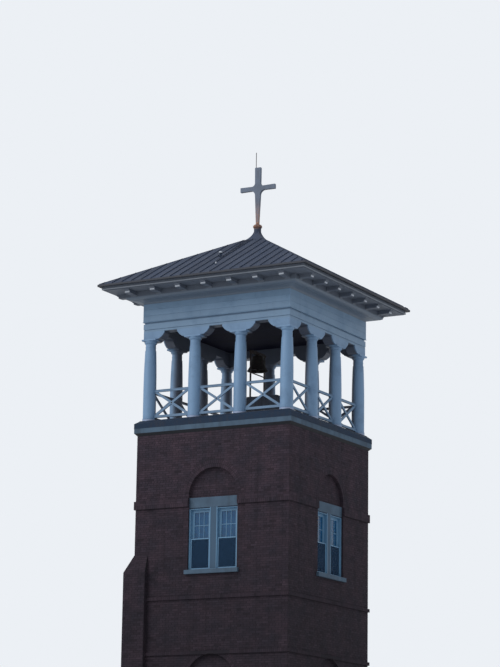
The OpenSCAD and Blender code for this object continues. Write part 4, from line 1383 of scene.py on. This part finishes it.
@dataclass
class Roof:
    """Standing-seam sheets on the four slopes, with caps on the hips and two small vents.

    Each vent is told by its place along and out on the front slope, its rise and its scale.
    """

    half: float = 3.64
    flare: float = 0.30
    low: float = 19.17
    pitch: float = 0.553
    seam_pitch: float = 0.348
    seam_shift: float = 0.02
    seam_w: float = 0.014
    seam_h: float = 0.028
    hip_gap: float = 0.02
    foot_gap: float = 0.018
    shortest: float = 0.05
    sheet: float = 0.003
    cap_r: float = 0.013
    vent_places: tuple[tuple[float, float, float, float], ...] = (
        (-0.22, 1.96, 0.11, 1.05), (0.15, 2.88, 0.03, 0.45))

    def __post_init__(self) -> None:
        """Works out the tilt of the slopes."""
        self.tilt = math.atan(self.pitch)

    def point(self, x: float, out: float, lift: float) -> Point:
        """Gives a point of the front slope, lifted square to it."""
        return (x, -(out + lift * math.sin(self.tilt)),
                self.low + self.pitch * (self.half - out) + lift * math.cos(self.tilt))

    def seams(self) -> Pile:
        """Adds the folded seams that run up each slope to the hips."""
        pile, w, h = Pile(), self.seam_w / 2, self.seam_h
        edge = [(w + 0.008, 0.001), (w + 0.006, 0.005), (w, 0.006), (w, h - 0.003), (w - 0.003, h)]
        section = [(-s, t) for s, t in edge] + edge[::-1]
        normal = (0.0, -math.sin(self.tilt), math.cos(self.tilt))
        count = int(self.half / self.seam_pitch)
        for side in Side:
            for k in range(-count, count + 1):
                x = self.seam_shift + k * self.seam_pitch
                head = max(abs(x) + self.hip_gap, self.flare)
                if head <= self.half - self.shortest:
                    pile.bar((self.point(x, self.half - self.foot_gap, 0), self.point(x, head, 0)),
                             section, normal, side)
        return pile

    def sheets(self) -> Pile:
        """Adds the flat sheets between the seams, each with a tone of its own."""
        pile, rng = Pile(), np.random.default_rng(SEED + 6)
        count = int(self.half / self.seam_pitch) + 1
        reach = self.half - self.sheet
        for side in Side:
            for k in range(-count, count + 1):
                x0 = max(self.seam_shift + k * self.seam_pitch, -reach)
                x1 = min(self.seam_shift + (k + 1) * self.seam_pitch, reach)
                if x1 - x0 < 0.01:
                    continue
                top = [(x, max(abs(x), self.flare)) for x in (x0, x1)]
                for bend in (-self.flare, 0.0, self.flare):
                    if x0 < bend < x1:
                        top.insert(1, (bend, max(abs(bend), self.flare)))
                outline = [(x0, reach), (x1, reach), *reversed(top)]
                pile.loft([[self.point(x, out, lift) for x, out in outline]
                           for lift in (self.sheet, -0.002)], side, float(rng.normal(0, 0.5)))
        return pile

    def hips(self) -> Pile:
        """Adds the rolled cap along each hip."""
        pile = Pile()
        wing = [(0.055, -0.024), (0.053, -0.018), (0.016, -0.001)]
        roll = [(self.cap_r * math.cos(t), 0.002 + self.cap_r * math.sin(t))
                for t in np.linspace(math.pi, 0, 7)]
        section = [(-s, t) for s, t in wing] + roll + wing[::-1] + [(0, -0.02)]
        foot, head = self.half - 0.042, self.flare
        ends = ((foot, -foot, self.low + 0.024),
                (head, -head, self.low + self.pitch * (self.half - head) + 0.002))
        for side in Side:
            pile.bar(ends, section, side=side)
        return pile

    def vents(self, pipes: Pile, hoods: Pile) -> None:
        """Adds the two vent pipes on the front slope, each with a flashing and a pale hood."""
        for x, out, rise, scale in self.vent_places:
            foot = self.point(x, out, -0.01)
            pipe = [(0.060, 0), (0.052, 0.03), (0.030, 0.045), (0.028, rise + 0.012),
                    (0.020, rise + 0.014)]
            hood = [(0.040, 0), (0.055, 0.006), (0.056, 0.022), (0.048, 0.044), (0.028, 0.060),
                    (0.008, 0.066)]
            pipes.lathe(foot, (0, 0, 1), [(scale * r, z) for r, z in pipe], 20)
            hoods.lathe((*foot[:2], foot[2] + rise), (0, 0, 1), [(scale * r, z) for r, z in hood])

    def build(self) -> None:
        """Builds the roof pieces and dresses the roof nodes."""
        self.sheets().piece("roof_sheets", Finishes.ROOF, "roof_metal")
        self.seams().piece("roof_seams", Finishes.ROOF, "roof_metal")
        self.hips().piece("hip_caps", Finishes.ROOF, "roof_metal")
        pipes, hoods = Pile(), Pile()
        self.vents(pipes, hoods)
        pipes.piece("vent_pipes", Finishes.LEAD, "roof_metal")
        hoods.piece("vent_hoods", Finishes.NOSE, "roof_metal")
        dress_nodes(Finishes.EDGE, "roof")
        dress_nodes(Finishes.FINIAL, "roof_finial")
        dress_nodes(Finishes.CROSS, "cross")
        dress_nodes(Finishes.IRON, "lightning_rod")


# --- Bell -----------------------------------------------------------------------------------


@dataclass
class BellSet:
    """The bell on its yoke, the stand and the boarded platform below.

    Each moulding of the bell is told by its share of the bell's height and its size.
    """

    centre: float = 0.07
    lip_z: float = 16.795
    radius: float = 0.33
    height: float = 0.50
    rings: tuple[Flat, ...] = ((0.14, 0.006), (0.18, 0.004), (0.60, 0.003), (0.74, 0.004),
                               (0.79, 0.005))
    yoke_top: float = 17.396
    bolt_x: float = 0.022
    bolt_y: float = 0.12
    platform_z: float = 15.874
    platform: Flat = (1.30, 1.06)
    platform_x: float = 0.40
    deck_z: float = 14.96
    board: float = 0.13
    gap: float = 0.004

    def outer(self, t: float) -> float:
        """Gives the bell's outer radius at a share of its height."""
        return self.radius * (0.5 + 0.5 * (1 - t) ** 2.6 + 0.05 * math.sin(math.pi * t))

    def mouldings(self) -> Pile:
        """Adds the raised rings round the bell."""
        pile = Pile()
        for t, size in self.rings:
            r, z = self.outer(t), self.height * t
            pile.lathe((self.centre, 0, self.lip_z), (0, 0, 1), [
                (r - 0.008, z - size), (r + 0.5 * size, z - 0.7 * size), (r + size, z),
                (r + 0.5 * size, z + 0.7 * size), (r - 0.008, z + size)], 64)
        return pile

    def bolts(self) -> Pile:
        """Adds the bolts that hold the bell's crown to the yoke."""
        pile = Pile()
        for y in (-self.bolt_y, self.bolt_y):
            for x in (self.centre - self.bolt_x, self.centre + self.bolt_x):
                pile.lathe((x, y, self.yoke_top), (0, 0, 1),
                           [(0.016, 0), (0.016, 0.012), (0.009, 0.014), (0.009, 0.024)], 6)
        return pile

    def planks(self, half: float) -> list[Flat]:
        """Gives the ends of the boards that cover a width."""
        return strips(-half, half, round(2 * half / self.board), self.gap)

    def cladding(self) -> Pile:
        """Adds upright boards round the platform and boards on its top."""
        pile, rng, top = Pile(), np.random.default_rng(SEED + 7), self.platform_z
        x, y = (size / 2 for size in self.platform)
        for side in Side:
            width, out = (x, y) if side in (Side.FRONT, Side.BACK) else (y, x)
            for start, end in self.planks(width):
                pile.box((start, -out - 0.008, self.deck_z + 0.01),
                         (end, -out + SINK, top - 0.012), side, 0.003, float(rng.normal(0, 0.5)))
            pile.box((-width - 0.012, -out - 0.016, top - 0.06),
                     (width + 0.012, -out + SINK, top - 0.004), side, 0.004)
        for start, end in self.planks(y):
            pile.box((-x - 0.004, start, top - SINK), (x + 0.004, end, top + 0.004),
                     chamfer=0.002, tone=float(rng.normal(0, 0.5)))
        pile.points = [points + (self.platform_x, 0, 0) for points in pile.points]
        return pile

    def build(self) -> None:
        """Builds the bell's small pieces and dresses its nodes."""
        self.mouldings().piece("bell_mouldings", Finishes.BRONZE, "bell_bronze", "bell", True)
        self.bolts().piece("yoke_bolts", Finishes.IRON, "iron", "bell")
        self.cladding().piece("platform_boards", Finishes.CLADDING, "dark_timber")
        dress_nodes(Finishes.BRONZE, "bell")
        dress_nodes(Finishes.IRON, "bell_yoke", "bell_stand", "clapper")
        dress_nodes(Finishes.CLADDING, "bell_platform")


# --- Studio ---------------------------------------------------------------------------------


@dataclass
class Studio:
    """Pale floor, soft light and the camera at the photograph's place."""

    place: Point = (35.65, -64.55, 1.64)
    yaw: float = 29.06
    pitch: float = 12.52
    roll: float = 0.85
    lens: float = 129.4
    floor_half: float = 400.0
    sky: float = 0.62
    sky_colour: tuple[float, float, float, float] = (0.93, 0.96, 1.0, 1.0)
    backdrop: Colour = (236, 240, 245)
    key: float = 1.5
    key_colour: Point = (1.0, 0.98, 0.95)
    key_angle: float = 35.0
    key_turn: Point = (52.0, 0.0, -38.0)

    def camera(self) -> None:
        """Places the camera by its yaw, pitch and roll."""
        yaw, pitch, roll = (math.radians(a) for a in (self.yaw, self.pitch, self.roll))
        ahead = Vector((-math.sin(yaw) * math.cos(pitch), math.cos(yaw) * math.cos(pitch),
                        math.sin(pitch)))
        right = Vector((math.cos(yaw), math.sin(yaw), 0))
        up = right.cross(ahead)
        across = math.cos(roll) * right + math.sin(roll) * up
        rise = -math.sin(roll) * right + math.cos(roll) * up
        lens = bpy.data.cameras.new("camera")
        lens.lens = self.lens
        lens.clip_end = 2000
        held = add_object("camera", lens)
        turn = Matrix((across, rise, -ahead)).transposed().to_4x4()
        held.matrix_world = Matrix.Translation(self.place) @ turn
        bpy.context.scene.camera = held

    def lights(self) -> None:
        """Adds one wide soft key light from the left."""
        sun = bpy.data.lights.new("key", "SUN")
        sun.energy = self.key
        sun.angle = math.radians(self.key_angle)
        sun.color = self.key_colour
        add_object("key", sun).rotation_euler = [math.radians(a) for a in self.key_turn]

    def world(self) -> None:
        """Makes the world pale to the camera and a plain soft light for everything else."""
        world = bpy.data.worlds.new("studio")
        bpy.context.scene.world = world
        world.use_nodes = True
        tree = world.node_tree
        tree.nodes.clear()
        path = add_node(tree, "ShaderNodeLightPath", {}).outputs
        seen = path["Is Camera Ray"]
        for ray in ("Is Glossy Ray", "Is Transmission Ray"):
            seen = add_node(tree, "ShaderNodeMath", {0: seen, 1: path[ray]},
                            operation="MAXIMUM").outputs[0]
        soft = add_node(tree, "ShaderNodeBackground", {
            "Color": self.sky_colour, "Strength": self.sky}).outputs[0]
        pale = add_node(tree, "ShaderNodeBackground", {
            "Color": linear(self.backdrop), "Strength": 1.0}).outputs[0]
        mix = add_node(tree, "ShaderNodeMixShader", {0: seen, 1: soft, 2: pale})
        add_node(tree, "ShaderNodeOutputWorld", {"Surface": mix.outputs[0]})

    def floor(self) -> None:
        """Adds the floor at ground level."""
        mesh = bpy.data.meshes.new("studio_floor")
        r = self.floor_half
        mesh.from_pydata([(-r, -r, 0), (r, -r, 0), (r, r, 0), (-r, r, 0)], [], [(0, 1, 2, 3)])
        mesh.materials.append(Finishes.PALE.material())
        add_object("studio_floor", mesh)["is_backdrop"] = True

    def build(self) -> None:
        """Builds the studio and sets the plain view transform."""
        self.camera()
        self.lights()
        self.world()
        self.floor()
        bpy.context.scene.view_settings.view_transform = "Standard"


def write_sizes() -> None:
    """Works out the box of the CAD model and of the dressed model; the result is not kept."""
    boxes = {"cad": CAD_BOX, "visual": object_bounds()}
    {name: [list(corner) for corner in box] for name, box in boxes.items()}


def main() -> None:
    """Builds every part of the tower in order, from the ground to the cross."""
    logging.basicConfig(level=logging.INFO, format="%(message)s")
    for part in (Studio(), BrickShaft(), Windows(), Doorway(), StoneTrim(), Belfry(),
                 Entablature(), Eaves(), Roof(), BellSet()):
        LOG.info("building %s", type(part).__name__)
        part.build()
    write_sizes()


if __name__ == "__main__":
    main()
